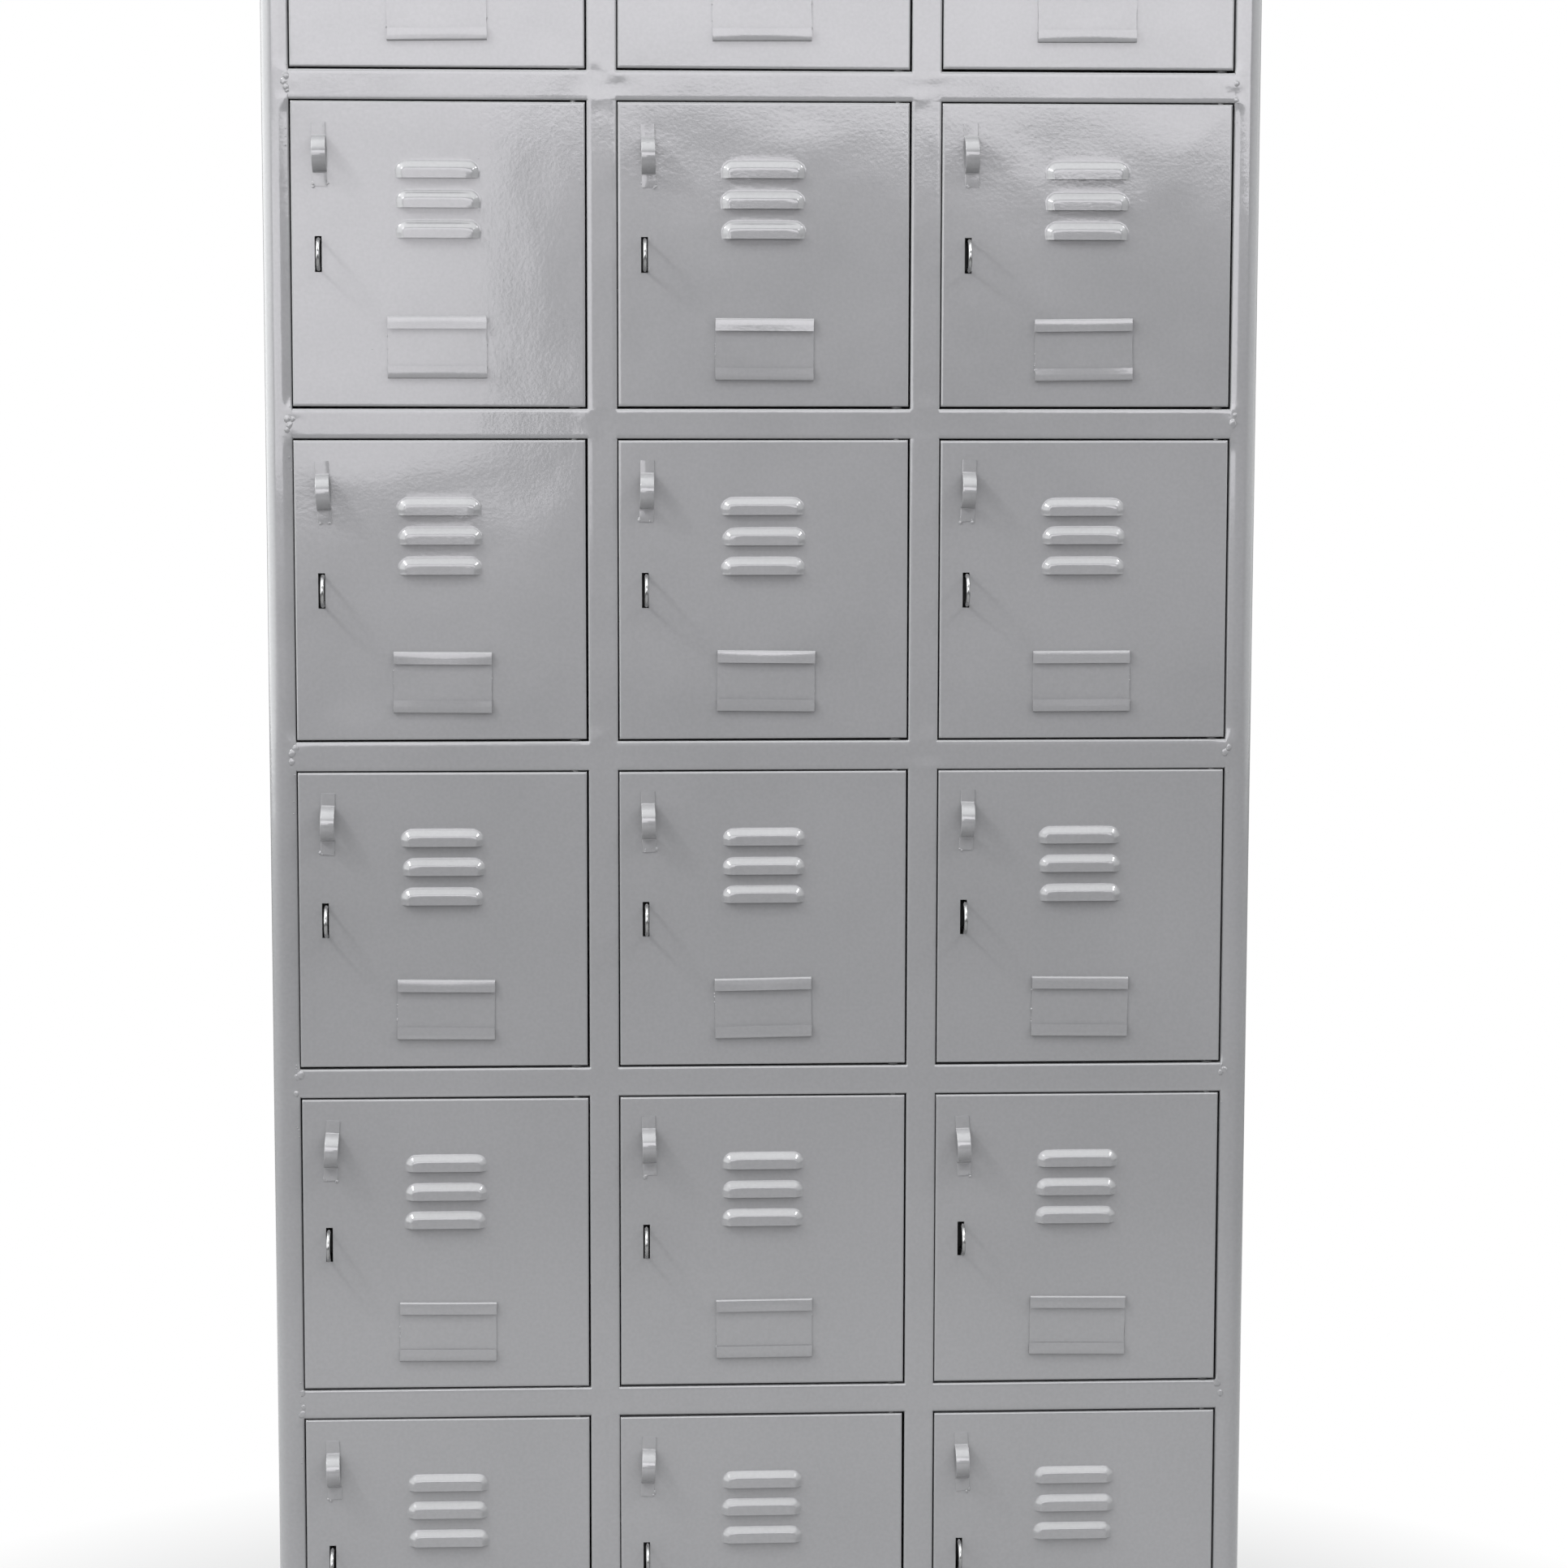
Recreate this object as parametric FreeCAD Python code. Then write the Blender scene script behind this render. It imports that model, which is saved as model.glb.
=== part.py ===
"""Bank of padlock lockers: a welded tube frame with sheet panels and a grid of hinged doors.

Frame of reference: +Z up, the doors face -Y, and the origin is on the floor under the centre of the
overall bounding box. All sizes are in millimetres. Each node is written to parts/NODE.step.
"""
import FreeCAD, Part
import math
import os

from FreeCAD import Vector

# ---- Driving dimensions ------------------------------------------------------------------------
WIDTH = 900.0                 # across the two front posts
HEIGHT = 1990.0               # floor to the top of the roof sheet
DEPTH = 400.0                 # front face of the frame to the back face of the back panel
ROWS = 6
COLUMN_NAMES = ("left", "middle", "right")
ROW_PITCH = 302.0             # from one door to the next door below it
POST = 25.0                   # square tube of the four corner posts
BAR = 27.0                    # face width of the rails and mullions between the doors
BAR_DEPTH = 20.0              # how far rails and mullions reach back from the front face
TUBE_WALL = 1.2
SHEET = 1.0                   # panels, shelves, partitions and doors
EDGE_RADIUS = 2.2             # outside corner of the rolled tubes
POST_NOSE_RADIUS = 12.0       # the wide rounding at the outer front corner of each front post
FOOT_CAP = 4.0                # thickness of the plastic cap under each post
FOOT_PLUG = 14.0              # how far each cap plugs into its tube

# ---- Doors -------------------------------------------------------------------------------------
DOOR_GAP = 2.0                # all round, between a door and the frame
DOOR_DEPTH = 15.0             # depth of the folded pan
DOOR_FOLD_RADIUS = 1.6
PIVOT_SETBACK = 10.0          # pivot axis from the door's right edge
PIVOT_DEPTH = 5.6             # pivot axis behind the door's front face
LOUVRE_COUNT = 3
LOUVRE_LENGTH = 77.0
LOUVRE_HEIGHT = 16.0
LOUVRE_PITCH = 26.8
LOUVRE_PROJECTION = 6.5
LOUVRE_BELOW_TOP = 51.6       # door's top edge to the top of the first louvre
LOUVRE_END_RADIUS = 7.0
LOUVRE_NOSE_RADIUS = 4.6
SLOT_WIDTH = 7.4
SLOT_HEIGHT = 32.0
SLOT_FROM_EDGE = 24.0         # door's free edge to the centre of the staple slot
PULL_FROM_EDGE = 26.5         # door's free edge to the centre of the pull
PULL_BELOW_TOP = 46.8         # door's top edge to the middle of the pull's bow
PULL_WIDTH = 13.5
PULL_THICKNESS = 2.0
PULL_LENGTH = 56.0
PULL_BOW_LENGTH = 34.0
PULL_PROJECTION = 14.0
CARD_WIDTH = 89.0
CARD_HEIGHT = 56.0
CARD_BELOW_TOP = 191.5
CARD_LIP = 12.0
CARD_SHEET = 0.8
CARD_SLOT = 1.0               # room for the card between plate and lip

# ---- Staples, strikes and pivots ---------------------------------------------------------------
STAPLE_ROD = 4.8
STAPLE_HEIGHT = 30.0          # outside of the bent rod
STAPLE_PROJECTION = 20.0      # in front of the door
STAPLE_OFFSET = 0.9           # rod from the slot's centre, towards the hinge
STRIKE_THICKNESS = 2.0
STRIKE_GAP = 0.8              # between the door's rear edge and the strike plate
STRIKE_WIDTH = 36.0
STRIKE_HEIGHT = 60.0
PIN_RADIUS = 3.0
PIN_CLEARANCE = 0.05          # radial, in the door's flange
PIN_HEAD_RADIUS = 4.2
PIN_HEAD = 2.0
PIN_HEAD_GAP = 0.3
PIN_TAIL = 5.0                # pin beyond the flange it carries
WASHER_RADIUS = 5.0
WASHER_THICKNESS = 1.8

# ---- Panels ------------------------------------------------------------------------------------
SIDE_RECESS = 2.0             # side sheets sit this far inside the posts' outer faces
SHELF_FLANGE = 15.0
RIVET_RADIUS = 1.6
RIVET_HEAD_RADIUS = 3.3
RIVET_HEAD = 1.3
RIVET_LENGTH = 5.0
RIVETS_UP = 8                 # on each rear post
RIVETS_ACROSS = 5             # on each rear rail

# ---- Derived places ----------------------------------------------------------------------------
COLUMNS = len(COLUMN_NAMES)
OPENING_W = (WIDTH - 2 * POST - (COLUMNS - 1) * BAR) / COLUMNS
OPENING_H = ROW_PITCH - BAR
COLUMN_PITCH = OPENING_W + BAR
DOOR_W = OPENING_W - 2 * DOOR_GAP
DOOR_H = OPENING_H - 2 * DOOR_GAP
FRONT = (STAPLE_PROJECTION - DEPTH - RIVET_HEAD) / 2   # y of the frame's front face
BACK = FRONT + DEPTH                                   # y of the back panel's rear face
ROOF_UNDER = HEIGHT - SHEET
LEG = ROOF_UNDER - BAR - ROWS * ROW_PITCH              # floor to the underside of the bottom rail
REAR_FACE = BACK - SHEET                               # rear faces of posts and rails
SIDE_RAIL_H = BAR - SHEET
PANEL_X = WIDTH / 2 - SIDE_RECESS - SHEET              # inner face of a side panel


def rail_z(level):
    """Underside of front rail number level, counted from the bottom."""
    return LEG + level * ROW_PITCH


def opening_left(column):
    """x of the left side of a column of door openings."""
    return -WIDTH / 2 + POST + column * COLUMN_PITCH


def opening_top(row):
    """z of the top of an opening. Row 0 is the top row."""
    return rail_z(ROWS - row)


def mullion_x(index):
    """Centre of a mullion, and of the partition behind it."""
    return opening_left(index + 1) - BAR / 2


def pivot_x(column):
    """x of a door's pivot axis."""
    return opening_left(column) + OPENING_W - DOOR_GAP - PIVOT_SETBACK


def staple_x(column):
    """x of the middle of a staple's rod."""
    return opening_left(column) + DOOR_GAP + SLOT_FROM_EDGE + STAPLE_OFFSET


def staple_z(row):
    """z of the middle of a staple, which is the middle of its door."""
    return opening_top(row) - OPENING_H / 2


# ---- Small shape helpers -----------------------------------------------------------------------
def block(x0, x1, y0, y1, z0, z1):
    """Box between two corners."""
    return Part.makeBox(x1 - x0, y1 - y0, z1 - z0, Vector(x0, y0, z0))


def rounded_outline(x0, x1, y0, y1, radii):
    """Closed wire round a rectangle in XY, with radii for corners (x0,y0), (x1,y0), (x1,y1), (x0,y1)."""
    corners = [(x0, y0, 1, 1), (x1, y0, -1, 1), (x1, y1, -1, -1), (x0, y1, 1, -1)]
    edges = []
    ends = []
    for index, ((cx, cy, sx, sy), radius) in enumerate(zip(corners, radii)):
        along_x = Vector(cx + sx * radius, cy, 0)
        along_y = Vector(cx, cy + sy * radius, 0)
        bend = radius * (1 - math.sqrt(0.5))
        middle = Vector(cx + sx * bend, cy + sy * bend, 0)
        start, end = (along_y, along_x) if index % 2 == 0 else (along_x, along_y)
        edges.append(Part.Arc(start, middle, end).toShape())
        ends.append((start, end))
    for index in range(4):
        edges.append(Part.makeLine(ends[index][1], ends[(index + 1) % 4][0]))
    return Part.Wire(Part.__sortEdges__(edges))


def tube(x0, x1, y0, y1, length, radii):
    """Hollow tube along +Z from z = 0, with its own radius at each corner."""
    wall = TUBE_WALL
    outer = Part.Face(rounded_outline(x0, x1, y0, y1, radii))
    inner_radii = [radius - wall for radius in radii]
    inner = Part.Face(rounded_outline(x0 + wall, x1 - wall, y0 + wall, y1 - wall, inner_radii))
    return outer.extrude(Vector(0, 0, length)).cut(inner.extrude(Vector(0, 0, length)))


def bar_tube(width, depth, length):
    """Tube along +Z whose face is centred on x = 0 with its front at y = 0."""
    return tube(-width / 2, width / 2, 0, depth, length, [EDGE_RADIUS] * 4)


def along_x(shape, x, y, z):
    """Lays a tube that runs along +Z down, so that it runs along +X from the given place."""
    laid = shape.copy()
    laid.rotate(Vector(0, 0, 0), Vector(0, 1, 0), 90)
    laid.translate(Vector(x, y, z))
    return laid


def along_y(shape, x, y, z):
    """Lays a tube that runs along +Z down, so that it runs along +Y from the given place."""
    laid = shape.copy()
    laid.rotate(Vector(0, 0, 0), Vector(1, 0, 0), -90)
    laid.translate(Vector(x, y, z))
    return laid


def moved(shape, x, y, z):
    """Copy of a shape at another place."""
    copy = shape.copy()
    copy.translate(Vector(x, y, z))
    return copy


def rod(radius, z0, z1, x, y):
    """Upright cylinder between two heights."""
    return Part.makeCylinder(radius, z1 - z0, Vector(x, y, z0))


def group(shapes):
    """Separate solids that share one node."""
    return Part.makeCompound([solid for shape in shapes for solid in shape.Solids])


# ---- Frame -------------------------------------------------------------------------------------
def front_post(side):
    """Corner post: side is -1 for the left and +1 for the right."""
    nose, edge = POST_NOSE_RADIUS, EDGE_RADIUS
    radii = [nose, edge, edge, edge] if side < 0 else [edge, nose, edge, edge]
    x0 = -WIDTH / 2 if side < 0 else WIDTH / 2 - POST
    post = tube(x0, x0 + POST, FRONT, FRONT + POST, ROOF_UNDER - FOOT_CAP, radii)
    return moved(post, 0, 0, FOOT_CAP)


def rear_post(side):
    """Rear corner post, drilled for the rivets of the back panel."""
    x0 = -WIDTH / 2 if side < 0 else WIDTH / 2 - POST
    post = tube(x0, x0 + POST, REAR_FACE - POST, REAR_FACE, ROOF_UNDER - FOOT_CAP, [EDGE_RADIUS] * 4)
    return drilled_for_rivets(moved(post, 0, 0, FOOT_CAP))


def foot_caps():
    """Plastic end cap under each post, plugged into the tube."""
    caps = []
    inset = TUBE_WALL + 0.2
    for x0 in (-WIDTH / 2, WIDTH / 2 - POST):
        for y0, is_front in ((FRONT, True), (REAR_FACE - POST, False)):
            radii = [EDGE_RADIUS] * 4
            if is_front:
                radii[0 if x0 < 0 else 1] = POST_NOSE_RADIUS
            sole = Part.Face(rounded_outline(x0, x0 + POST, y0, y0 + POST, radii))
            plug_radii = [max(radius - inset, 0.6) for radius in radii]
            plug = Part.Face(rounded_outline(x0 + inset, x0 + POST - inset,
                                             y0 + inset, y0 + POST - inset, plug_radii))
            solid = sole.extrude(Vector(0, 0, FOOT_CAP))
            caps.append(solid.fuse(plug.extrude(Vector(0, 0, FOOT_CAP + FOOT_PLUG))).removeSplitter())
    return group(caps)


def front_rails():
    """Rails between the front posts, drilled for the pivot pins."""
    length = WIDTH - 2 * POST
    blank = bar_tube(BAR, BAR_DEPTH, length)
    pins = [rod(PIN_RADIUS + PIN_CLEARANCE, 0, HEIGHT, pivot_x(column), FRONT + PIVOT_DEPTH)
            for column in range(COLUMNS)]
    rails = []
    for level in range(ROWS + 1):
        rail = along_x(blank, -length / 2, FRONT, rail_z(level) + BAR / 2)
        for pin in pins:
            rail = rail.cut(pin)
        rails.append(rail)
    return group(rails)


def front_mullions():
    """Short uprights between the rails."""
    blank = bar_tube(BAR, BAR_DEPTH, OPENING_H)
    return group([moved(blank, mullion_x(index), FRONT, rail_z(level) + BAR)
                  for index in range(COLUMNS - 1) for level in range(ROWS)])


def side_rails(side):
    """Rails that join the front and rear posts at the bottom and the top of one side."""
    length = DEPTH - SHEET - 2 * POST
    blank = tube(-POST / 2, POST / 2, -SIDE_RAIL_H / 2, SIDE_RAIL_H / 2, length, [EDGE_RADIUS] * 4)
    x = side * (WIDTH - POST) / 2
    return group([along_y(blank, x, FRONT + POST, z + SIDE_RAIL_H / 2)
                  for z in (LEG, ROOF_UNDER - SIDE_RAIL_H)])


def rear_rails():
    """Rails between the rear posts, at the bottom and the top."""
    length = WIDTH - 2 * POST
    blank = bar_tube(SIDE_RAIL_H, BAR_DEPTH, length)
    rails = [along_x(blank, -length / 2, REAR_FACE - BAR_DEPTH, z + SIDE_RAIL_H / 2)
             for z in (LEG, ROOF_UNDER - SIDE_RAIL_H)]
    return group([drilled_for_rivets(rail) for rail in rails])


# ---- Panels ------------------------------------------------------------------------------------
def side_panel(side):
    """Sheet let into the frame of one side."""
    inner = side * PANEL_X
    outer = side * (PANEL_X + SHEET)
    return block(min(inner, outer), max(inner, outer), FRONT + POST, REAR_FACE - POST,
                 LEG + SIDE_RAIL_H, ROOF_UNDER - SIDE_RAIL_H)


def rivet_places():
    """(x, z) of every rivet of the back panel."""
    post_x = (WIDTH - POST) / 2
    low = LEG + SIDE_RAIL_H / 2
    high = ROOF_UNDER - SIDE_RAIL_H / 2
    places = []
    for index in range(RIVETS_UP):
        z = low + (high - low) * index / (RIVETS_UP - 1)
        places += [(-post_x, z), (post_x, z)]
    for index in range(1, RIVETS_ACROSS + 1):
        x = -post_x + 2 * post_x * index / (RIVETS_ACROSS + 1)
        places += [(x, low), (x, high)]
    return places


def rivet_shank(x, z):
    """Shank of one rivet, from the back panel's face inwards."""
    return Part.makeCylinder(RIVET_RADIUS, RIVET_LENGTH, Vector(x, BACK, z), Vector(0, -1, 0))


def drilled_for_rivets(shape):
    """The shape with a hole for each rivet that reaches it."""
    box = shape.BoundBox
    for x, z in rivet_places():
        if box.XMin < x < box.XMax and box.ZMin < z < box.ZMax:
            shape = shape.cut(rivet_shank(x, z))
    return shape


def panel_rivets():
    """Domed rivets that hold the back panel."""
    rivets = []
    for x, z in rivet_places():
        head = Part.makeCylinder(RIVET_HEAD_RADIUS, RIVET_HEAD, Vector(x, BACK, z), Vector(0, 1, 0))
        rim = [edge for edge in head.Edges
               if edge.Curve.TypeId == "Part::GeomCircle" and edge.BoundBox.YMin > BACK + RIVET_HEAD / 2]
        head = head.makeFillet(RIVET_HEAD * 0.8, rim)
        rivets.append(head.fuse(rivet_shank(x, z)).removeSplitter())
    return group(rivets)


def back_panel():
    """Sheet riveted over the rear posts and rails."""
    return drilled_for_rivets(block(-WIDTH / 2, WIDTH / 2, REAR_FACE, BACK, LEG, ROOF_UNDER))


def roof_panel():
    """Sheet on top of the frame, with its front corners rounded like the posts."""
    nose, edge = POST_NOSE_RADIUS, EDGE_RADIUS
    outline = rounded_outline(-WIDTH / 2, WIDTH / 2, FRONT, BACK, [nose, nose, edge, edge])
    return moved(Part.Face(outline).extrude(Vector(0, 0, SHEET)), 0, 0, ROOF_UNDER)


def clear_of_posts(shape):
    """Cuts the corners of a horizontal sheet away round the four posts."""
    room = 0.5
    for x0 in (-WIDTH / 2, WIDTH / 2 - POST):
        for y0 in (FRONT, REAR_FACE - POST):
            shape = shape.cut(block(x0 - room, x0 + POST + room, y0 - room, y0 + POST + room, 0, HEIGHT))
    return shape


def shelf(left, right, top):
    """Shelf with its front and rear edges folded down. Its top is level with the front rail's top."""
    front, rear = FRONT + BAR_DEPTH, REAR_FACE
    plate = block(left, right, front, rear, top - SHEET, top)
    lip_front = block(left, right, front, front + SHEET, top - SHELF_FLANGE, top)
    lip_rear = block(left, right, rear - SHEET, rear, top - SHELF_FLANGE, top)
    return clear_of_posts(plate.fuse(lip_front).fuse(lip_rear).removeSplitter())


def shelves():
    """Fifteen shelves between the panels and the partitions."""
    walls = [-PANEL_X] + [mullion_x(index) for index in range(COLUMNS - 1)] + [PANEL_X]
    pieces = []
    for level in range(1, ROWS):
        for column in range(COLUMNS):
            left = walls[column] + (SHEET / 2 if column else 0)
            right = walls[column + 1] - (SHEET / 2 if column < COLUMNS - 1 else 0)
            pieces.append(shelf(left, right, rail_z(level) + BAR))
    return group(pieces)


def bottom_panel():
    """Floor of the bottom row, resting on the side and rear rails."""
    top = LEG + BAR
    return clear_of_posts(block(-PANEL_X, PANEL_X, FRONT + BAR_DEPTH, REAR_FACE, top - SHEET, top))


def partition(index):
    """Upright sheet behind a line of mullions, notched round the rear top rail."""
    x = mullion_x(index)
    sheet = block(x - SHEET / 2, x + SHEET / 2, FRONT + BAR_DEPTH, REAR_FACE, LEG + BAR, ROOF_UNDER)
    notch = block(x - SHEET, x + SHEET, REAR_FACE - BAR_DEPTH, REAR_FACE, ROOF_UNDER - SIDE_RAIL_H, HEIGHT)
    return sheet.cut(notch)


# ---- Latching side: strike plates and padlock staples ------------------------------------------
def strike_plates():
    """Flat plate behind each door's free edge. It stops the door and carries the staple."""
    y0 = FRONT + DOOR_DEPTH + STRIKE_GAP
    leg = (STAPLE_HEIGHT - STAPLE_ROD) / 2
    plates = []
    for row in range(ROWS):
        for column in range(COLUMNS):
            x0, z = opening_left(column), staple_z(row)
            plate = block(x0, x0 + STRIKE_WIDTH, y0, y0 + STRIKE_THICKNESS,
                          z - STRIKE_HEIGHT / 2, z + STRIKE_HEIGHT / 2)
            for side in (-1, 1):
                hole = Part.makeCylinder(STAPLE_ROD / 2 + PIN_CLEARANCE, 4 * STRIKE_THICKNESS,
                                         Vector(staple_x(column), y0 - STRIKE_THICKNESS, z + side * leg),
                                         Vector(0, 1, 0))
                plate = plate.cut(hole)
            plates.append(plate)
    return group(plates)


def padlock_staples():
    """U of round bar that stands out through each door's slot."""
    radius = STAPLE_ROD / 2
    bend = STAPLE_HEIGHT / 2 - radius
    y_bend = FRONT - STAPLE_PROJECTION + STAPLE_HEIGHT / 2
    y_end = FRONT + DOOR_DEPTH + STRIKE_GAP + STRIKE_THICKNESS
    upper = Part.makeLine(Vector(0, y_end, bend), Vector(0, y_bend, bend))
    curve = Part.Arc(Vector(0, y_bend, bend), Vector(0, y_bend - bend, 0),
                     Vector(0, y_bend, -bend)).toShape()
    lower = Part.makeLine(Vector(0, y_bend, -bend), Vector(0, y_end, -bend))
    section = Part.Wire(Part.makeCircle(radius, Vector(0, y_end, bend), Vector(0, 1, 0)))
    staple = Part.Wire([upper, curve, lower]).makePipeShell([section], True, True)
    return group([moved(staple, staple_x(column), 0, staple_z(row))
                  for row in range(ROWS) for column in range(COLUMNS)])


# ---- Pivots ------------------------------------------------------------------------------------
def hinge_pins():
    """Loose pin through each rail. It carries the door above and guides the door below."""
    pins = []
    y = FRONT + PIVOT_DEPTH
    flange = DOOR_GAP + SHEET
    for level in range(ROWS + 1):
        low = rail_z(level) - (flange + PIN_TAIL if level else PIN_TAIL)
        head_z = rail_z(level) + BAR + flange + PIN_HEAD_GAP
        for column in range(COLUMNS):
            x = pivot_x(column)
            if level == ROWS:
                pins.append(rod(PIN_RADIUS, low, ROOF_UNDER, x, y))
            else:
                pin = rod(PIN_RADIUS, low, head_z, x, y)
                pins.append(pin.fuse(rod(PIN_HEAD_RADIUS, head_z, head_z + PIN_HEAD, x, y)).removeSplitter())
    return group(pins)


def hinge_washers():
    """Washer under each door, between its lower flange and the rail."""
    y = FRONT + PIVOT_DEPTH
    washers = []
    for level in range(ROWS):
        z0 = rail_z(level) + BAR
        for column in range(COLUMNS):
            x = pivot_x(column)
            ring = rod(WASHER_RADIUS, z0, z0 + WASHER_THICKNESS, x, y)
            washers.append(ring.cut(rod(PIN_RADIUS + PIN_CLEARANCE, z0 - 1, z0 + BAR, x, y)))
    return group(washers)


# ---- One door, with the lower left corner of its front face at the origin ------------------------
def louvre_bubble(inset):
    """Rounded hood, open below. Its upper edge is at z = 0 and it stands out towards -Y.

    inset shrinks it by the sheet thickness for the inside of the hood.
    """
    half = LOUVRE_LENGTH / 2 - inset
    drop = LOUVRE_HEIGHT
    radius = LOUVRE_END_RADIUS - inset
    turn = radius * (1 - math.sqrt(0.5))
    top = -inset
    left_arc = Part.Arc(Vector(-half, 0, top - radius), Vector(-half + turn, 0, top - turn),
                        Vector(-half + radius, 0, top)).toShape()
    right_arc = Part.Arc(Vector(half - radius, 0, top), Vector(half - turn, 0, top - turn),
                         Vector(half, 0, top - radius)).toShape()
    outline = Part.Wire([
        Part.makeLine(Vector(-half, 0, -drop), Vector(-half, 0, top - radius)),
        left_arc,
        Part.makeLine(Vector(-half + radius, 0, top), Vector(half - radius, 0, top)),
        right_arc,
        Part.makeLine(Vector(half, 0, top - radius), Vector(half, 0, -drop)),
        Part.makeLine(Vector(half, 0, -drop), Vector(-half, 0, -drop)),
    ])
    front = inset - LOUVRE_PROJECTION
    back = SHEET
    body = moved(Part.Face(outline).extrude(Vector(0, front - back, 0)), 0, back, 0)
    nose = [edge for edge in body.Edges
            if abs(edge.BoundBox.YMax - front) < 1e-6 and edge.BoundBox.ZMax > 1e-6 - drop]
    return body.makeFillet(LOUVRE_NOSE_RADIUS - inset, nose)


def door_pan():
    """Sheet folded into a shallow pan, open at the back."""
    outer = block(0, DOOR_W, 0, DOOR_DEPTH, 0, DOOR_H)
    front_edges = [edge for edge in outer.Edges if edge.BoundBox.YMax < 1e-6]
    outer = outer.makeFillet(DOOR_FOLD_RADIUS, front_edges)
    hollow = block(SHEET, DOOR_W - SHEET, SHEET, DOOR_DEPTH + 1, SHEET, DOOR_H - SHEET)
    fold_edges = [edge for edge in hollow.Edges if edge.BoundBox.YMax < SHEET + 1e-6]
    return outer.cut(hollow.makeFillet(DOOR_FOLD_RADIUS - SHEET, fold_edges))


def door_blank():
    """Pan with its pressed louvres, the slot for the staple and the two pivot holes."""
    door = door_pan()
    centre = DOOR_W / 2
    for index in range(LOUVRE_COUNT):
        z = DOOR_H - LOUVRE_BELOW_TOP - index * LOUVRE_PITCH
        hood = moved(louvre_bubble(0), centre, 0, z)
        door = door.fuse(hood)
        door = door.cut(moved(louvre_bubble(SHEET), centre, 0, z))
    slot = block(SLOT_FROM_EDGE - SLOT_WIDTH / 2, SLOT_FROM_EDGE + SLOT_WIDTH / 2, -1, SHEET + 1,
                 (DOOR_H - SLOT_HEIGHT) / 2, (DOOR_H + SLOT_HEIGHT) / 2)
    upright = [edge for edge in slot.Edges if edge.BoundBox.YLength > SHEET]
    door = door.cut(slot.makeFillet(1.0, upright))
    pivot = rod(PIN_RADIUS + PIN_CLEARANCE, -1, DOOR_H + 1, DOOR_W - PIVOT_SETBACK, PIVOT_DEPTH)
    return door.cut(pivot).removeSplitter()


def pull_strap():
    """Flat bar with two feet and a bow between them, for a finger."""
    half, bow, thick = PULL_LENGTH / 2, PULL_BOW_LENGTH / 2, PULL_THICKNESS
    reach = PULL_PROJECTION
    foot = Vector(0, -thick, 0)
    inner_bow = bow - thick
    outline = Part.Wire([
        Part.makeLine(Vector(0, 0, half), Vector(0, -thick, half)),
        Part.makeLine(Vector(0, -thick, half), foot + Vector(0, 0, bow)),
        Part.Arc(foot + Vector(0, 0, bow), Vector(0, -reach, 0), foot - Vector(0, 0, bow)).toShape(),
        Part.makeLine(foot - Vector(0, 0, bow), Vector(0, -thick, -half)),
        Part.makeLine(Vector(0, -thick, -half), Vector(0, 0, -half)),
        Part.makeLine(Vector(0, 0, -half), Vector(0, 0, -inner_bow)),
        Part.Arc(Vector(0, 0, -inner_bow), Vector(0, thick - reach, 0), Vector(0, 0, inner_bow)).toShape(),
        Part.makeLine(Vector(0, 0, inner_bow), Vector(0, 0, half)),
    ])
    strap = Part.Face(outline).extrude(Vector(PULL_WIDTH, 0, 0))
    return moved(strap, PULL_FROM_EDGE - PULL_WIDTH / 2, 0, DOOR_H - PULL_BELOW_TOP)


def card_holder():
    """Plate with its upper and lower edges folded over to hold a name card."""
    sheet, height = CARD_SHEET, CARD_HEIGHT
    lip = sheet + CARD_SLOT
    profile = [(0, 0), (0, height), (-lip - sheet, height), (-lip - sheet, height - CARD_LIP),
               (-lip, height - CARD_LIP), (-lip, height - sheet), (-sheet, height - sheet),
               (-sheet, sheet), (-lip, sheet), (-lip, CARD_LIP), (-lip - sheet, CARD_LIP), (-lip - sheet, 0)]
    points = [Vector(0, y, z) for y, z in profile]
    holder = Part.Face(Part.makePolygon(points + points[:1])).extrude(Vector(CARD_WIDTH, 0, 0))
    return moved(holder, (DOOR_W - CARD_WIDTH) / 2, 0, DOOR_H - CARD_BELOW_TOP - CARD_HEIGHT)


# ---- Assembly ----------------------------------------------------------------------------------
def frame_nodes():
    """Every node that stands still."""
    return {
        "front_post_left": front_post(-1),
        "front_post_right": front_post(1),
        "rear_post_left": rear_post(-1),
        "rear_post_right": rear_post(1),
        "front_rails": front_rails(),
        "front_mullions": front_mullions(),
        "side_rails_left": side_rails(-1),
        "side_rails_right": side_rails(1),
        "rear_rails": rear_rails(),
        "side_panel_left": side_panel(-1),
        "side_panel_right": side_panel(1),
        "back_panel": back_panel(),
        "roof_panel": roof_panel(),
        "bottom_panel": bottom_panel(),
        "partition_left": partition(0),
        "partition_right": partition(1),
        "shelves": shelves(),
        "strike_plates": strike_plates(),
        "padlock_staples": padlock_staples(),
        "hinge_pins": hinge_pins(),
        "hinge_washers": hinge_washers(),
        "panel_rivets": panel_rivets(),
        "foot_caps": foot_caps(),
    }


def door_nodes():
    """The sheet pan of each door, and the pull and card holder welded to it."""
    blank = door_blank()
    fittings = group([pull_strap(), card_holder()])
    nodes = {}
    for row in range(ROWS):
        for column, name in enumerate(COLUMN_NAMES):
            place = (opening_left(column) + DOOR_GAP, FRONT, opening_top(row) - DOOR_GAP - DOOR_H)
            nodes[f"door_row{row + 1}_{name}"] = moved(blank, *place)
            nodes[f"pull_and_card_holder_row{row + 1}_{name}"] = moved(fittings, *place)
    return nodes


def main():
    os.makedirs("parts", exist_ok=True)
    for name, shape in {**frame_nodes(), **door_nodes()}.items():
        shape.exportStep(os.path.join("parts", name + ".step"))


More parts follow.
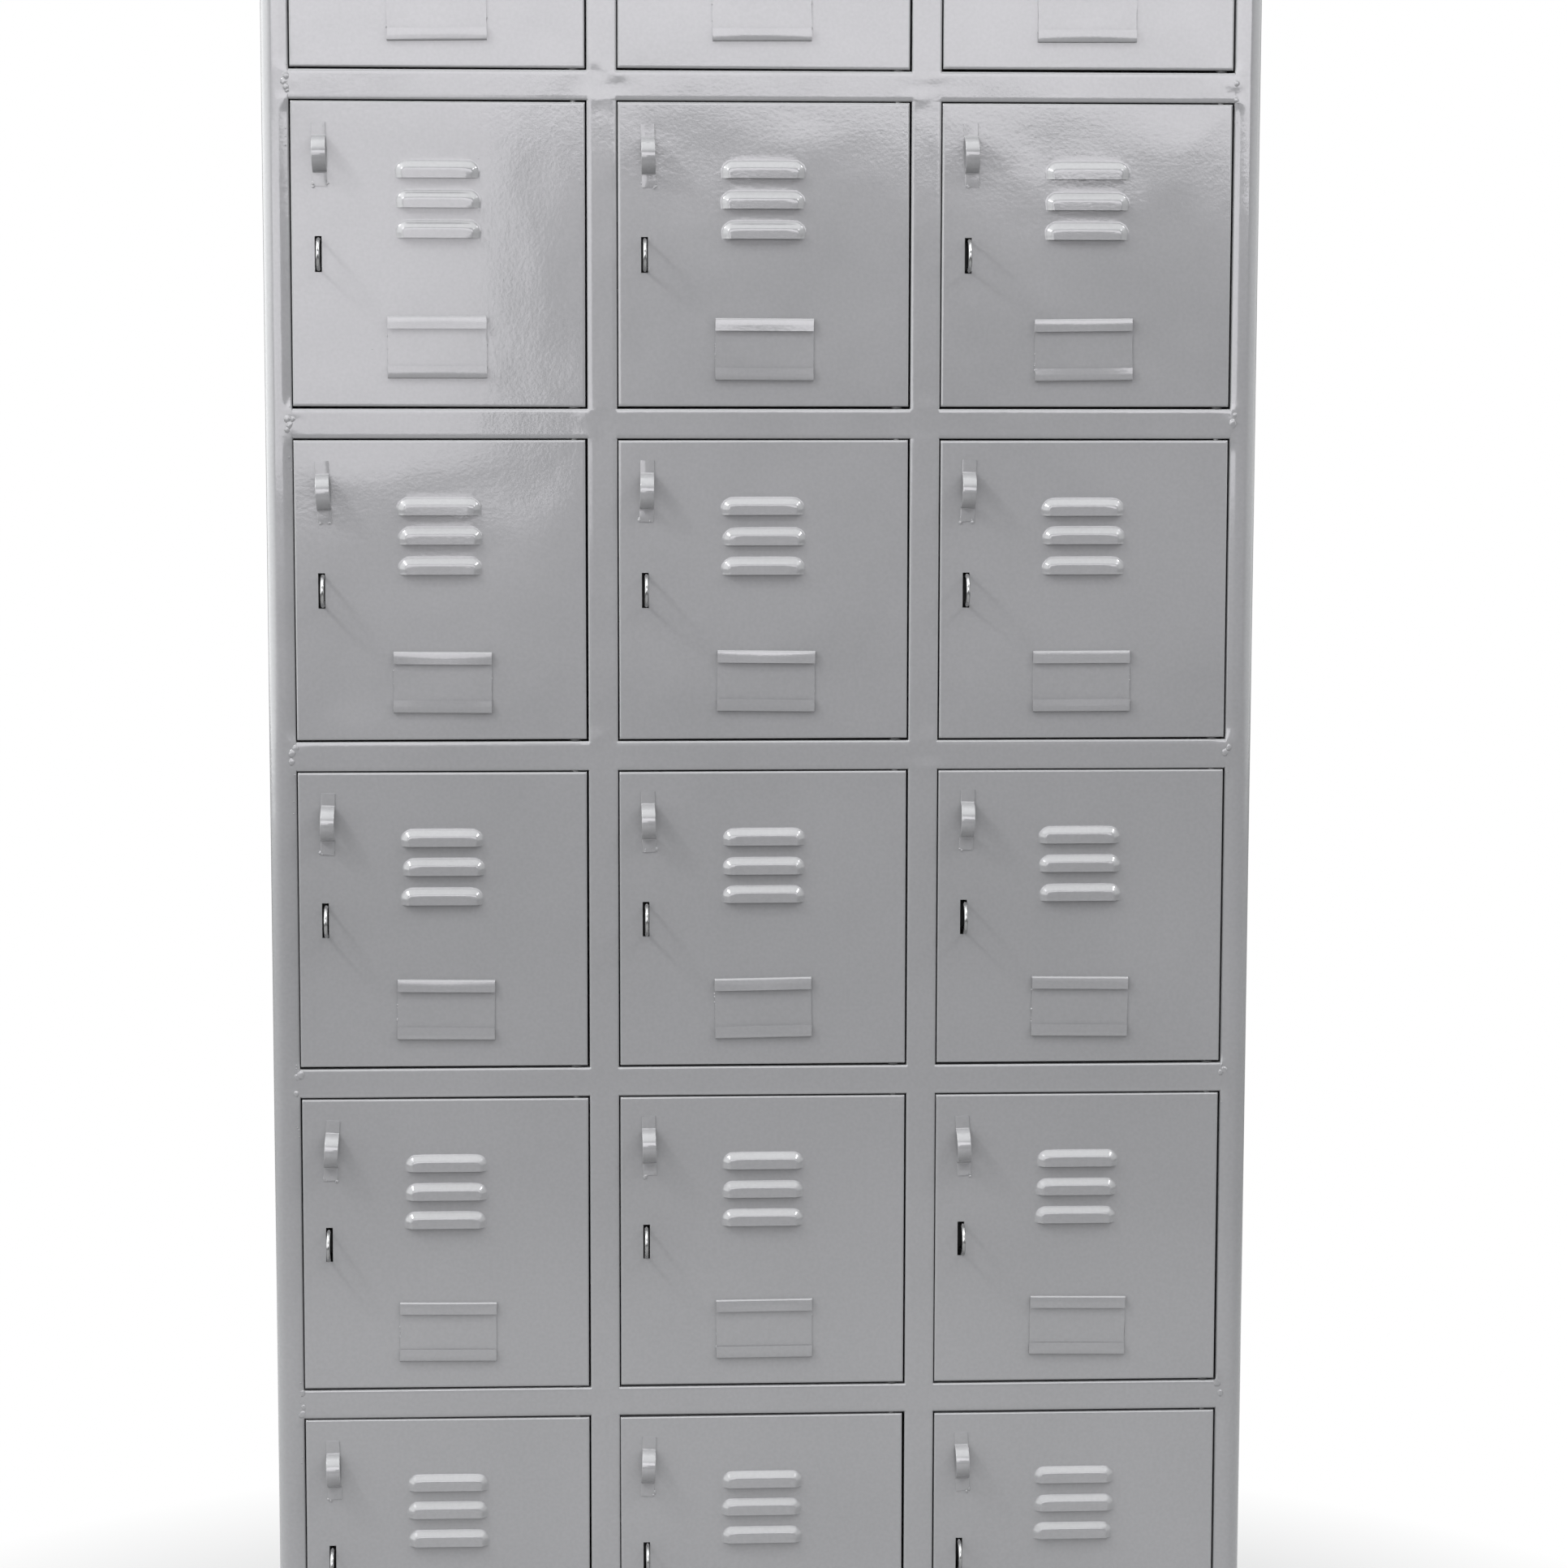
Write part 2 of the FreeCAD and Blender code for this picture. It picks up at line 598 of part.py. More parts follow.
main()
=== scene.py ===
"""Looks of a steel locker bank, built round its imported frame.

Everything is in metres in the frame of the CAD: +Z up, the doors face -Y. Sheet and tube that a
welder has pressed, ground and painted by hand are rebuilt here with soft edges and slight waves;
nodes whose CAD shape is already right keep it and only get a material.
"""
import math
import random

import bmesh
import bpy
import numpy as np
from mathutils import Matrix, Quaternion, Vector, noise


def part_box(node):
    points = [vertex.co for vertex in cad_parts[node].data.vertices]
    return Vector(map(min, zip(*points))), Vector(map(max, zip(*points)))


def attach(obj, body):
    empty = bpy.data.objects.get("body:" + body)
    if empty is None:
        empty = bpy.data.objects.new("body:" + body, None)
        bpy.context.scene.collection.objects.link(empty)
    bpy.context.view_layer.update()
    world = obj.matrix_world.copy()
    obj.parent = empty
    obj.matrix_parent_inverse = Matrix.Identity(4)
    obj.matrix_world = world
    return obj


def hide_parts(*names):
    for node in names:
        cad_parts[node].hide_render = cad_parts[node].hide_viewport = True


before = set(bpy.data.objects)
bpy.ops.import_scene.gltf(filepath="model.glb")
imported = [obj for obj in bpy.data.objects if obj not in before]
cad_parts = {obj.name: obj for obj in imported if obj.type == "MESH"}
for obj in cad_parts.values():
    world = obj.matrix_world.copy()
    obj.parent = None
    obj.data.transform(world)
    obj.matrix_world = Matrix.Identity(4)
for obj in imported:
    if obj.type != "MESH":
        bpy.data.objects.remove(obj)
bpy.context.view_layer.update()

MM = 0.001
ROWS = range(1, 7)
COLUMNS = ("left", "middle", "right")

# ---- Sizes that the frame gives ------------------------------------------------------------------
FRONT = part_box("front_rails")[0].y          # the face of the frame and of the doors
BAR_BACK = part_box("front_rails")[1].y
POST_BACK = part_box("front_post_left")[1].y
POST_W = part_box("front_post_left")[1].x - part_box("front_post_left")[0].x
OUTER_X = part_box("front_post_right")[1].x
FRAME_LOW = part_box("front_rails")[0].z      # underside of the bottom rail
FRAME_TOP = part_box("front_rails")[1].z

# ---- Sizes of the looks --------------------------------------------------------------------------
GAP = 2.0 * MM                # between a door and the frame in the CAD
GAP_LEFT = 1.0 * MM           # the same gap once both edges are painted, on each side of a door
GAP_RIGHT = 1.5 * MM
GAP_ABOVE = 1.3 * MM
GAP_BELOW = 1.7 * MM
TUBE_EDGE = 1.8 * MM          # rounding of the frame's edges round each opening
POST_NOSE = 12.0 * MM         # rounding of the posts' outer front corner
POST_INNER = 8.0 * MM         # width of the ground strip on the posts beside the doors
POST_GROUND = 0.17            # slope of that strip
FOLD = 1.6 * MM               # outside radius of the doors' folds
SHEET = 1.0 * MM
PAN_DEPTH = 15.0 * MM
LOUVRE_LENGTH = 77.0 * MM
LOUVRE_HEIGHT = 16.0 * MM
LOUVRE_PITCH = 26.8 * MM
LOUVRE_BELOW_TOP = 51.8 * MM
LOUVRE_RISE = 4.2 * MM        # height of the shoulder
LOUVRE_TILT = 0.1 * MM        # further rise from the shoulder to the lip
LOUVRE_SHOULDER = 7.5 * MM    # width of the bevel round the hood
LOUVRE_BEND = 0.27            # share of the bevel that each of its two bends takes
LOUVRE_CORNER = 11.5 * MM
LOUVRE_TUCK = 1.0 * MM        # how far the hood's ends draw in again towards the lip
SLOT_WIDTH = 6.2 * MM
SLOT_HEIGHT = 32.0 * MM
SLOT_FROM_EDGE = 24.0 * MM
PULL_FROM_EDGE = 26.5 * MM
PULL_BELOW_TOP = 46.8 * MM
PULL_WIDTH = 12.6 * MM
PULL_THICK = 2.0 * MM
PULL_LENGTH = 56.0 * MM
PULL_BOW = 32.0 * MM          # length of its bowed middle
PULL_REACH = 14.0 * MM        # how far it stands out from the door
PULL_FOOT = 0.55              # thickness of the feet, sunk in weld and paint, against the bow's
CARD_WIDTH = 89.0 * MM
CARD_HEIGHT = 56.0 * MM
CARD_BELOW_TOP = 191.5 * MM
CARD_LIP = 11.0 * MM
CARD_SHEET = 0.8 * MM
CARD_SLOT = 1.3 * MM          # between the plate and a lip
STAPLE_ROD = 3.4 * MM
STAPLE_HEIGHT = 30.0 * MM
STAPLE_REACH = 20.0 * MM      # how far it stands out from the door
STAPLE_OFFSET = 0.4 * MM      # from the middle of its slot, to the right, on average
SKIN_STEP = 5.5 * MM          # coarsest grid of a door's sheet
PANEL_STEP = 22.0 * MM        # grid of the side and back sheets
WELD_FADE = 8.0 * MM          # distance over which a ground weld fades out
TUBE_STEP = 3.2 * MM          # coarsest grid across a rail, mullion or post
CARD_STATIONS = 27            # cross sections along a card holder
# Floor colour near the object and far out; the darker far one is painted shade, a fall-off of light.
FLOOR_NEAR = (0.26, 0.26, 0.26)
FLOOR_PAINTED_SHADE = (0.08, 0.08, 0.08)
WINDOW_TINT = (1.0, 0.982, 1.024)
PLAIN_WHITE = (1.0, 1.0, 1.0)
FILL_TINT = (0.985, 1.0, 1.0)
CAMERA_PLACE = (-0.176, -3.875, 1.481)
CAMERA_TURN = (-3.02, -6.77, -0.12)    # yaw, pitch and roll in degrees from straight at the doors
CAMERA_LENS = 93.2


def opening(row, column):
    """(x0, x1, z0, z1) of the hole in the frame round one door."""
    low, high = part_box(f"door_row{row}_{column}")
    return low.x - GAP, high.x + GAP, low.z - GAP, high.z + GAP


# The openings, row by row from the top, and from left to right in each row.
OPENINGS = [opening(row, column) for row in ROWS for column in COLUMNS]
INNER_X = OPENINGS[2][1]                    # inner face of the right post
RAIL_H = OPENINGS[0][2] - OPENINGS[3][3]
# Boxes of open air below the bottom rail and above the top one, as (x0, x1, z0, z1).
OPEN_AIR = [(-INNER_X, INNER_X, -1.0, FRAME_LOW), (-1.0, 1.0, FRAME_TOP, 3.0)]


# ---- Noise ---------------------------------------------------------------------------------------
def ripple(x, z, size, seed):
    """Smooth noise from -1 to 1 over arrays of places, with features of about the given size."""
    flat = [noise.noise(Vector((a / size, b / size, seed)))
            for a, b in zip(np.ravel(x), np.ravel(z))]
    return np.reshape(flat, np.shape(x))


def smooth(t):
    """Smooth step from 0 to 1 for t from 0 to 1."""
    t = np.clip(t, 0.0, 1.0)
    return t * t * (3.0 - 2.0 * t)


# ---- Mesh helpers --------------------------------------------------------------------------------
def finish_object(name, bm, material, sharp=32.0, thickness=0.0):
    """Object from a bmesh, optionally thickened inwards, smooth except along sharp edges."""
    mesh = bpy.data.meshes.new(name)
    bm.to_mesh(mesh)
    bm.free()
    obj = bpy.data.objects.new(name, mesh)
    bpy.context.scene.collection.objects.link(obj)
    if thickness:
        solid = obj.modifiers.new("thickness", "SOLIDIFY")
        solid.thickness = thickness
        solid.offset = -1.0
        solid.use_even_offset = True
        graph = bpy.context.evaluated_depsgraph_get()
        thick = bpy.data.meshes.new_from_object(obj.evaluated_get(graph))
        obj.modifiers.clear()
        obj.data = thick
        bpy.data.meshes.remove(mesh)
        mesh = thick
        mesh.name = name
    mesh.materials.clear()
    mesh.materials.append(material)
    mesh.shade_smooth()
    mesh.set_sharp_from_angle(angle=math.radians(sharp))
    return obj


def place_lines(marks, spacing):
    """Places from the first mark to the last: every mark, with even steps of at most spacing between."""
    places = [marks[0]]
    for a, b in zip(marks, marks[1:]):
        steps = max(1, math.ceil((b - a) / spacing - 1e-6))
        places += [a + (b - a) * k / steps for k in range(1, steps + 1)]
    return places


def edge_marks(length, radius, steps=4):
    """Offsets from an edge that follow a quarter circle evenly, mirrored at the other edge."""
    near = [radius * (1.0 - math.cos(math.pi / 2 * k / steps)) for k in range(steps + 1)]
    return near + [length - d for d in reversed(near)]


def grid_rim(nz, nx):
    """Indices (j, i) once round the rim of a grid, anticlockwise from its lower left corner."""
    rim = [(0, i) for i in range(nx)] + [(j, nx - 1) for j in range(1, nz)]
    return rim + [(nz - 1, i) for i in range(nx - 2, -1, -1)] + [(j, 0) for j in range(nz - 2, 0, -1)]


def join_loops(bm, outer, inner):
    """Faces between two closed loops with as many vertices."""
    count = len(inner)
    for k in range(count):
        n = (k + 1) % count
        bm.faces.new((outer[k], outer[n], inner[n], inner[k]))


def relief_sheet(bm, xs, zs, face_y, rings, hole=None, closed=False):
    """Adds a grid facing -Y whose rim is carried back ring by ring.

    face_y(x, z, upper) gives y for arrays of places; upper is false on the lower one of two rows
    at one height, which leave a slit between them. rings holds (outset, y, share): how far the rim
    moves out, its y, and how much it keeps of the rim's own relief.
    """
    xs = np.array(xs)
    zs = np.array(zs)
    upper = np.append(np.diff(zs) > 1e-9, True)
    gx, gz = np.meshgrid(xs, zs)
    gy = face_y(gx, gz, upper[:, None] & np.ones_like(gx, bool))
    nz, nx = gx.shape
    verts = [[bm.verts.new((gx[j, i], gy[j, i], gz[j, i])) for i in range(nx)] for j in range(nz)]
    for j in range(nz - 1):
        if not upper[j]:
            continue
        for i in range(nx - 1):
            if hole and hole((xs[i] + xs[i + 1]) / 2, (zs[j] + zs[j + 1]) / 2):
                continue
            bm.faces.new((verts[j][i], verts[j][i + 1], verts[j + 1][i + 1], verts[j + 1][i]))
    rim = grid_rim(nz, nx)
    inner = [verts[j][i] for j, i in rim]
    for outset, y, share in rings:
        outer = []
        for j, i in rim:
            out_x = (i == nx - 1) - (i == 0)
            out_z = (j == nz - 1) - (j == 0)
            outer.append(bm.verts.new((gx[j, i] + outset * out_x,
                                       y + share * (gy[j, i] - FRONT),
                                       gz[j, i] + outset * out_z)))
        join_loops(bm, outer, inner)
        inner = outer
    if closed:
        bm.faces.new(list(reversed(inner)))


def sweep(bm, loops):
    """Closed skin through loops of points, each with as many points, capped at both ends."""
    rings = [[bm.verts.new(p) for p in loop] for loop in loops]
    for a, b in zip(rings, rings[1:]):
        join_loops(bm, a, b)
    bm.faces.new(list(reversed(rings[0])))
    bm.faces.new(rings[-1])


def blob(bm, centre, radii, seed):
    """Small lump of weld under paint."""
    made = bmesh.ops.create_icosphere(bm, subdivisions=2, radius=1.0)
    for v in made["verts"]:
        swell = 1.0 + 0.3 * noise.noise(v.co * 1.1 + Vector((seed, 0.0, 0.0)))
        v.co = centre + Vector((v.co.x * radii[0], v.co.y * radii[1], v.co.z * radii[2])) * swell


def rounded_section(width, thick, radius, steps=3):
    """Points of a rounded rectangle, as (across, through) pairs, anticlockwise."""
    points = []
    for sx, sy, start in ((1, 1, 0), (-1, 1, 90), (-1, -1, 180), (1, -1, 270)):
        cx, cy = sx * (width / 2 - radius), sy * (thick / 2 - radius)
        for k in range(steps + 1):
            a = math.radians(start + 90 * k / steps)
            points.append((cx + radius * math.cos(a), cy + radius * math.sin(a)))
    return points


# ---- Materials -----------------------------------------------------------------------------------
class ShaderTree:
    """Small helper that adds and links the nodes of one shader tree."""

    def __init__(self, tree):
        self.tree = tree

    def add(self, kind, **settings):
        """New node with some of its own settings."""
        node = self.tree.nodes.new(kind)
        for key, value in settings.items():
            setattr(node, key, value)
        return node

    def link(self, output, target):
        self.tree.links.new(output, target)

    def math(self, operation, first, second):
        """Result of one sum of two outputs or numbers."""
        node = self.add("ShaderNodeMath", operation=operation)
        for socket, value in zip(node.inputs, (first, second)):
            if isinstance(value, float):
                socket.default_value = value
            else:
                self.link(value, socket)
        return node.outputs["Value"]

    def remap(self, value, low, high, to_low, to_high, curve="LINEAR"):
        """Value moved from the range low to high into another one, and kept inside it."""
        node = self.add("ShaderNodeMapRange", interpolation_type=curve)
        limits = {"From Min": low, "From Max": high, "To Min": to_low, "To Max": to_high}
        for key, number in limits.items():
            node.inputs[key].default_value = number
        self.link(value, node.inputs["Value"])
        return node.outputs["Result"]

    def mix_shaders(self, factor, first, second):
        """Shader that goes from the first to the second as the factor goes from 0 to 1."""
        node = self.add("ShaderNodeMixShader")
        self.link(factor, node.inputs[0])
        self.link(first, node.inputs[1])
        self.link(second, node.inputs[2])
        return node.outputs[0]


class Nodes(ShaderTree):
    """Shader tree of a new material with patterns placed in the object's own metres."""

    def __init__(self, name):
        self.material = bpy.data.materials.new(name)
        self.material.use_nodes = True
        super().__init__(self.material.node_tree)
        self.shader = self.tree.nodes["Principled BSDF"]
        self.place = self.add("ShaderNodeTexCoord").outputs["Object"]

    def noise(self, scale, detail=2.0):
        """Noise factor with the given number of features to the metre."""
        node = self.add("ShaderNodeTexNoise")
        node.inputs["Scale"].default_value = scale
        node.inputs["Detail"].default_value = detail
        self.link(self.place, node.inputs["Vector"])
        return node.outputs["Fac"]

    def spots(self, scale, radius, rarity):
        """1 inside small round spots, 0 outside. Only patches where a noise passes rarity have any."""
        cells = self.add("ShaderNodeTexVoronoi")
        cells.inputs["Scale"].default_value = scale
        self.link(self.place, cells.inputs["Vector"])
        spot = self.remap(cells.outputs["Distance"], 0.0, radius, 1.0, 0.0)
        patch = self.remap(self.noise(scale * 0.6, 0.0), rarity, rarity + 0.02, 0.0, 1.0)
        return self.math("MULTIPLY", spot, patch)

    def mix(self, factor, first, second):
        """Colour between two colours."""
        node = self.add("ShaderNodeMix", data_type="RGBA")
        node.inputs["A"].default_value = (*first, 1.0)
        node.inputs["B"].default_value = (*second, 1.0)
        self.link(factor, node.inputs["Factor"])
        return node.outputs["Result"]

    def bump(self, heights):
        """Chains bumps given as (height output, depth in metres) onto the shader's normals."""
        normal = None
        for height, depth in heights:
            node = self.add("ShaderNodeBump")
            node.inputs["Distance"].default_value = depth
            self.link(height, node.inputs["Height"])
            if normal:
                self.link(normal, node.inputs["Normal"])
            normal = node.outputs["Normal"]
        self.link(normal, self.shader.inputs["Normal"])
        self.link(normal, self.shader.inputs["Coat Normal"])

    def colour(self, output):
        self.link(output, self.shader.inputs["Base Color"])

    def rough(self, output):
        self.link(output, self.shader.inputs["Roughness"])

    def set(self, **values):
        """Sets inputs of the main shader. An underscore in a name stands for a space."""
        for key, value in values.items():
            self.shader.inputs[key.replace("_", " ")].default_value = value


def enamel(name, light, dark, rough, coat, peel=1.0):
    """Sprayed gloss enamel: orange peel, slight runs, dust nibs and faint blotches of tone."""
    n = Nodes(name)
    blotches = n.remap(n.noise(5.0, 1.0), 0.3, 0.7, 0.25, 0.75)
    grain = n.remap(n.noise(300.0, 1.0), 0.3, 0.7, -0.25 * peel, 0.25 * peel)
    n.colour(n.mix(n.math("ADD", blotches, grain), dark, light))
    n.rough(n.remap(n.noise(22.0, 3.0), 0.3, 0.7, rough, rough + 0.07))
    runs = (n.noise(24.0, 1.0), 0.09 * MM * peel)
    coarse_peel = (n.noise(130.0, 2.0), 0.022 * MM * peel)
    fine_peel = (n.noise(360.0, 1.0), 0.03 * MM * peel)
    nibs = (n.spots(38.0, 0.03, 0.62), 0.12 * MM * peel)
    n.bump([runs, coarse_peel, fine_peel, nibs])
    n.set(Coat_Weight=coat, Coat_Roughness=0.09, Coat_IOR=1.65)
    return n.material


def bare_steel(name, tint, rough):
    """Bare metal with a fine grain, slight tarnish and uneven shine."""
    n = Nodes(name)
    n.colour(n.mix(n.noise(90.0, 3.0), tuple(0.8 * c for c in tint), tint))
    n.rough(n.remap(n.noise(400.0, 2.0), 0.3, 0.7, rough, rough + 0.08))
    n.bump([(n.noise(900.0, 2.0), 0.002 * MM)])
    n.set(Metallic=1.0)
    return n.material


def plastic(name, light, dark, rough, grain):
    """Moulded plastic with a fine spark-eroded grain and rubbed patches."""
    n = Nodes(name)
    n.colour(n.mix(n.noise(60.0, 3.0), dark, light))
    n.rough(n.remap(n.noise(120.0, 2.0), 0.3, 0.7, rough, rough + 0.15))
    n.bump([(n.noise(1400.0, 1.0), grain)])
    return n.material


FRAME_PAINT = enamel("frame enamel", (0.212, 0.212, 0.217), (0.187, 0.188, 0.192), 0.2, 1.0)
DOOR_PAINT = enamel("door enamel", (0.212, 0.212, 0.217), (0.187, 0.188, 0.192), 0.2, 1.0)
PANEL_PAINT = enamel("panel enamel", (0.2, 0.201, 0.205), (0.193, 0.194, 0.198), 0.3, 0.2, peel=0.15)
STEEL = bare_steel("bright bar", (0.42, 0.42, 0.42), 0.14)
# Strike plates: steel tinted near-black, painted shade of the dark behind the staple slots.
PLATE_IN_PAINTED_SHADE = bare_steel("plate in painted shade", (0.04, 0.04, 0.04), 0.5)
# Hinge pins: bare steel darkened as painted shade of the door gaps they sit in.
PIN_STEEL_IN_PAINTED_SHADE = bare_steel("hinge pin steel in painted shade", (0.16, 0.16, 0.16), 0.35)
RIVET_METAL = bare_steel("rivet aluminium", (0.72, 0.73, 0.74), 0.3)
NYLON = plastic("nylon", (0.035, 0.035, 0.036), (0.02, 0.02, 0.02), 0.45, 0.01 * MM)
CAP_PLASTIC = plastic("black plastic", (0.022, 0.022, 0.023), (0.012, 0.012, 0.013), 0.4, 0.02 * MM)


# ---- Welded front frame --------------------------------------------------------------------------
def edge_distance(x, z):
    """Distance from places on the frame's face to the nearest opening or open air."""
    best = np.full(np.shape(x), 1.0)
    for x0, x1, z0, z1 in OPENINGS + OPEN_AIR:
        dx = np.maximum(np.maximum(x0 - x, x - x1), 0.0)
        dz = np.maximum(np.maximum(z0 - z, z - z1), 0.0)
        best = np.minimum(best, np.hypot(dx, dz))
    return best


def rounding(distance, radius):
    """How far a rounded edge has fallen back at a distance inside it."""
    inside = np.clip(radius - distance, 0.0, radius)
    return radius - np.sqrt(np.maximum(radius * radius - inside * inside, 0.0))


def weld_closeness(x, z):
    """1 on the ground welds, at rail ends and mullion ends, fading to 0 some way off."""
    best = np.full(np.shape(x), 1.0)
    for x0, x1, z0, z1 in OPENINGS:
        for cx in (x0, x1):
            at_post = abs(abs(cx) - INNER_X) < 1e-6
            for cz, outwards in ((z0, -1.0), (z1, 1.0)):
                if at_post:
                    end_z = cz + outwards * RAIL_H
                    dz = np.maximum(np.maximum(min(cz, end_z) - z, z - max(cz, end_z)), 0.0)
                    best = np.minimum(best, np.hypot(x - cx, dz))
                else:
                    end_x = cx + math.copysign(RAIL_H, cx - (x0 + x1) / 2)
                    dx = np.maximum(np.maximum(min(cx, end_x) - x, x - max(cx, end_x)), 0.0)
                    best = np.minimum(best, np.hypot(dx, z - cz))
    return np.exp(-(best / WELD_FADE) ** 2)


def ground_strip(x, z, distance):
    """How far the posts' face has fallen back on the strip ground flat beside each door."""
    beside = np.zeros(np.shape(x))
    for _, _, z0, z1 in OPENINGS[::len(COLUMNS)]:
        beside = np.maximum(beside, smooth(np.minimum(z - z0, z1 - z) / (7.0 * MM)))
    on_post = np.abs(x) > INNER_X - 1e-6
    return POST_GROUND * np.clip(POST_INNER - distance, 0.0, None) * beside * on_post


def frame_face(x, z, _upper=None):
    """y of the frame's face: rounded edges, long waves and low lumps where welds were ground."""
    distance = edge_distance(x, z)
    to_side = OUTER_X - np.abs(x)
    fall = np.maximum(rounding(distance, TUBE_EDGE), rounding(to_side, POST_NOSE))
    fall = fall + ground_strip(x, z, distance)
    near_nose = smooth(1.0 - to_side / (1.2 * POST_NOSE))
    waves = 0.16 * MM * ripple(x, z, 70.0 * MM, 3.1) + 0.05 * MM * ripple(x, z, 24.0 * MM, 8.2)
    waves += near_nose * 0.22 * MM * ripple(4.0 * x, z, 45.0 * MM, 6.3)
    on_post_weld = smooth((np.abs(x) - INNER_X + 9.0 * MM) / (6.0 * MM))
    weld = 0.2 * MM + 0.4 * MM * ripple(x, z, 22.0 * MM, 5.7) + 0.1 * MM * ripple(x, z, 9.0 * MM, 1.3)
    weld += on_post_weld * 0.45 * MM * ripple(x, z, 9.0 * MM, 4.4)
    inside = smooth(distance / (3.0 * MM))
    return FRONT + fall - waves - weld_closeness(x, z) * weld * (0.3 + 0.7 * inside)


def tube_rings(back):
    """Rings that carry a tube's rim back and round its rear edges."""
    r = TUBE_EDGE
    return [(0.0, back - r, 0.0), (-0.3 * r, back - 0.3 * r, 0.0), (-r, back, 0.0)]


def front_rails():
    """Bars above and below each row of doors, each in one length from post to post."""
    bm = bmesh.new()
    x_marks = [-INNER_X]
    for column in (0, 1):
        left = OPENINGS[column][1]
        x_marks += [left + d for d in edge_marks(RAIL_H, TUBE_EDGE)]
    x_marks.append(INNER_X)
    xs = place_lines(x_marks, 5.0 * MM)
    lows = [opening(row, "left")[3] for row in ROWS] + [FRAME_LOW]
    for low in lows:
        zs = place_lines([low + d for d in edge_marks(RAIL_H, TUBE_EDGE)], TUBE_STEP)
        relief_sheet(bm, xs, zs, frame_face, tube_rings(BAR_BACK), closed=True)
    return finish_object("welded_front_rails", bm, FRAME_PAINT)


def front_mullions():
    """Short uprights between the doors of a row, each from one bar to the next."""
    bm = bmesh.new()
    for column in (0, 1):
        left = OPENINGS[column][1]
        xs = place_lines([left + d for d in edge_marks(RAIL_H, TUBE_EDGE)], TUBE_STEP)
        for row in ROWS:
            low, high = opening(row, "left")[2:]
            zs = place_lines([low, high], 4.0 * MM)
            relief_sheet(bm, xs, zs, frame_face, tube_rings(BAR_BACK), closed=True)
    return finish_object("welded_front_mullions", bm, FRAME_PAINT)


def front_post(side):
    """Corner post with its wide outer rounding and the ground strips beside the doors."""
    low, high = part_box(f"front_post_{side}")
    bm = bmesh.new()
    nose = [POST_NOSE * (1.0 - math.cos(math.pi / 2 * k / 7)) for k in range(8)]
    inner = [POST_W - POST_INNER] + [POST_W - d for d in reversed(edge_marks(POST_W, TUBE_EDGE)[:5])]
    across = place_lines(nose + inner, TUBE_STEP)
    xs = [low.x + d for d in across] if side == "left" else [high.x - d for d in reversed(across)]
    marks = [low.z]
    for row in reversed(ROWS):
        z0, z1 = opening(row, side)[2:]
        marks += [z0 - TUBE_EDGE, z0, z0 + 2 * TUBE_EDGE, z1 - 2 * TUBE_EDGE, z1, z1 + TUBE_EDGE]
    marks = sorted({round(m, 6) for m in marks + [FRAME_LOW, high.z]})
    zs = place_lines(marks, 4.5 * MM)
    relief_sheet(bm, xs, zs, frame_face, tube_rings(POST_BACK), closed=True)
    return finish_object(f"welded_front_post_{side}", bm, FRAME_PAINT)


def weld_spatter(draw):
    """Flat lumps where the rails are welded to the posts, and a few beads along the posts' edges."""
    bm = bmesh.new()
    for row in list(ROWS)[1:]:
        rail_low = opening(row, "left")[3]
        for side, lumps, beads in ((-1.0, 4, 7), (1.0, 2, 3)):
            spots = [(draw.uniform(-1.0, 5.0), draw.uniform(0.1, 0.95), draw.uniform(2.4, 4.2), 0.17)
                     for _ in range(lumps)]
            spots += [(draw.uniform(1.0, 3.5), draw.uniform(-1.6, 1.4), draw.uniform(0.4, 0.85), 0.6)
                      for _ in range(beads)]
            # inwards is from the post's inner face, and share is of the rail's height.
            for inwards, share, size, flatness in spots:
                x = side * (INNER_X + inwards * MM)
                z = rail_low + share * RAIL_H
                y = float(frame_face(np.array([x]), np.array([z]))[0])
                radii = (0.8 * size * MM, flatness * size * MM, size * MM)
                blob(bm, Vector((x, y, z)), radii, draw.uniform(0.0, 40.0))
    return finish_object("weld_spatter", bm, FRAME_PAINT, sharp=80.0)


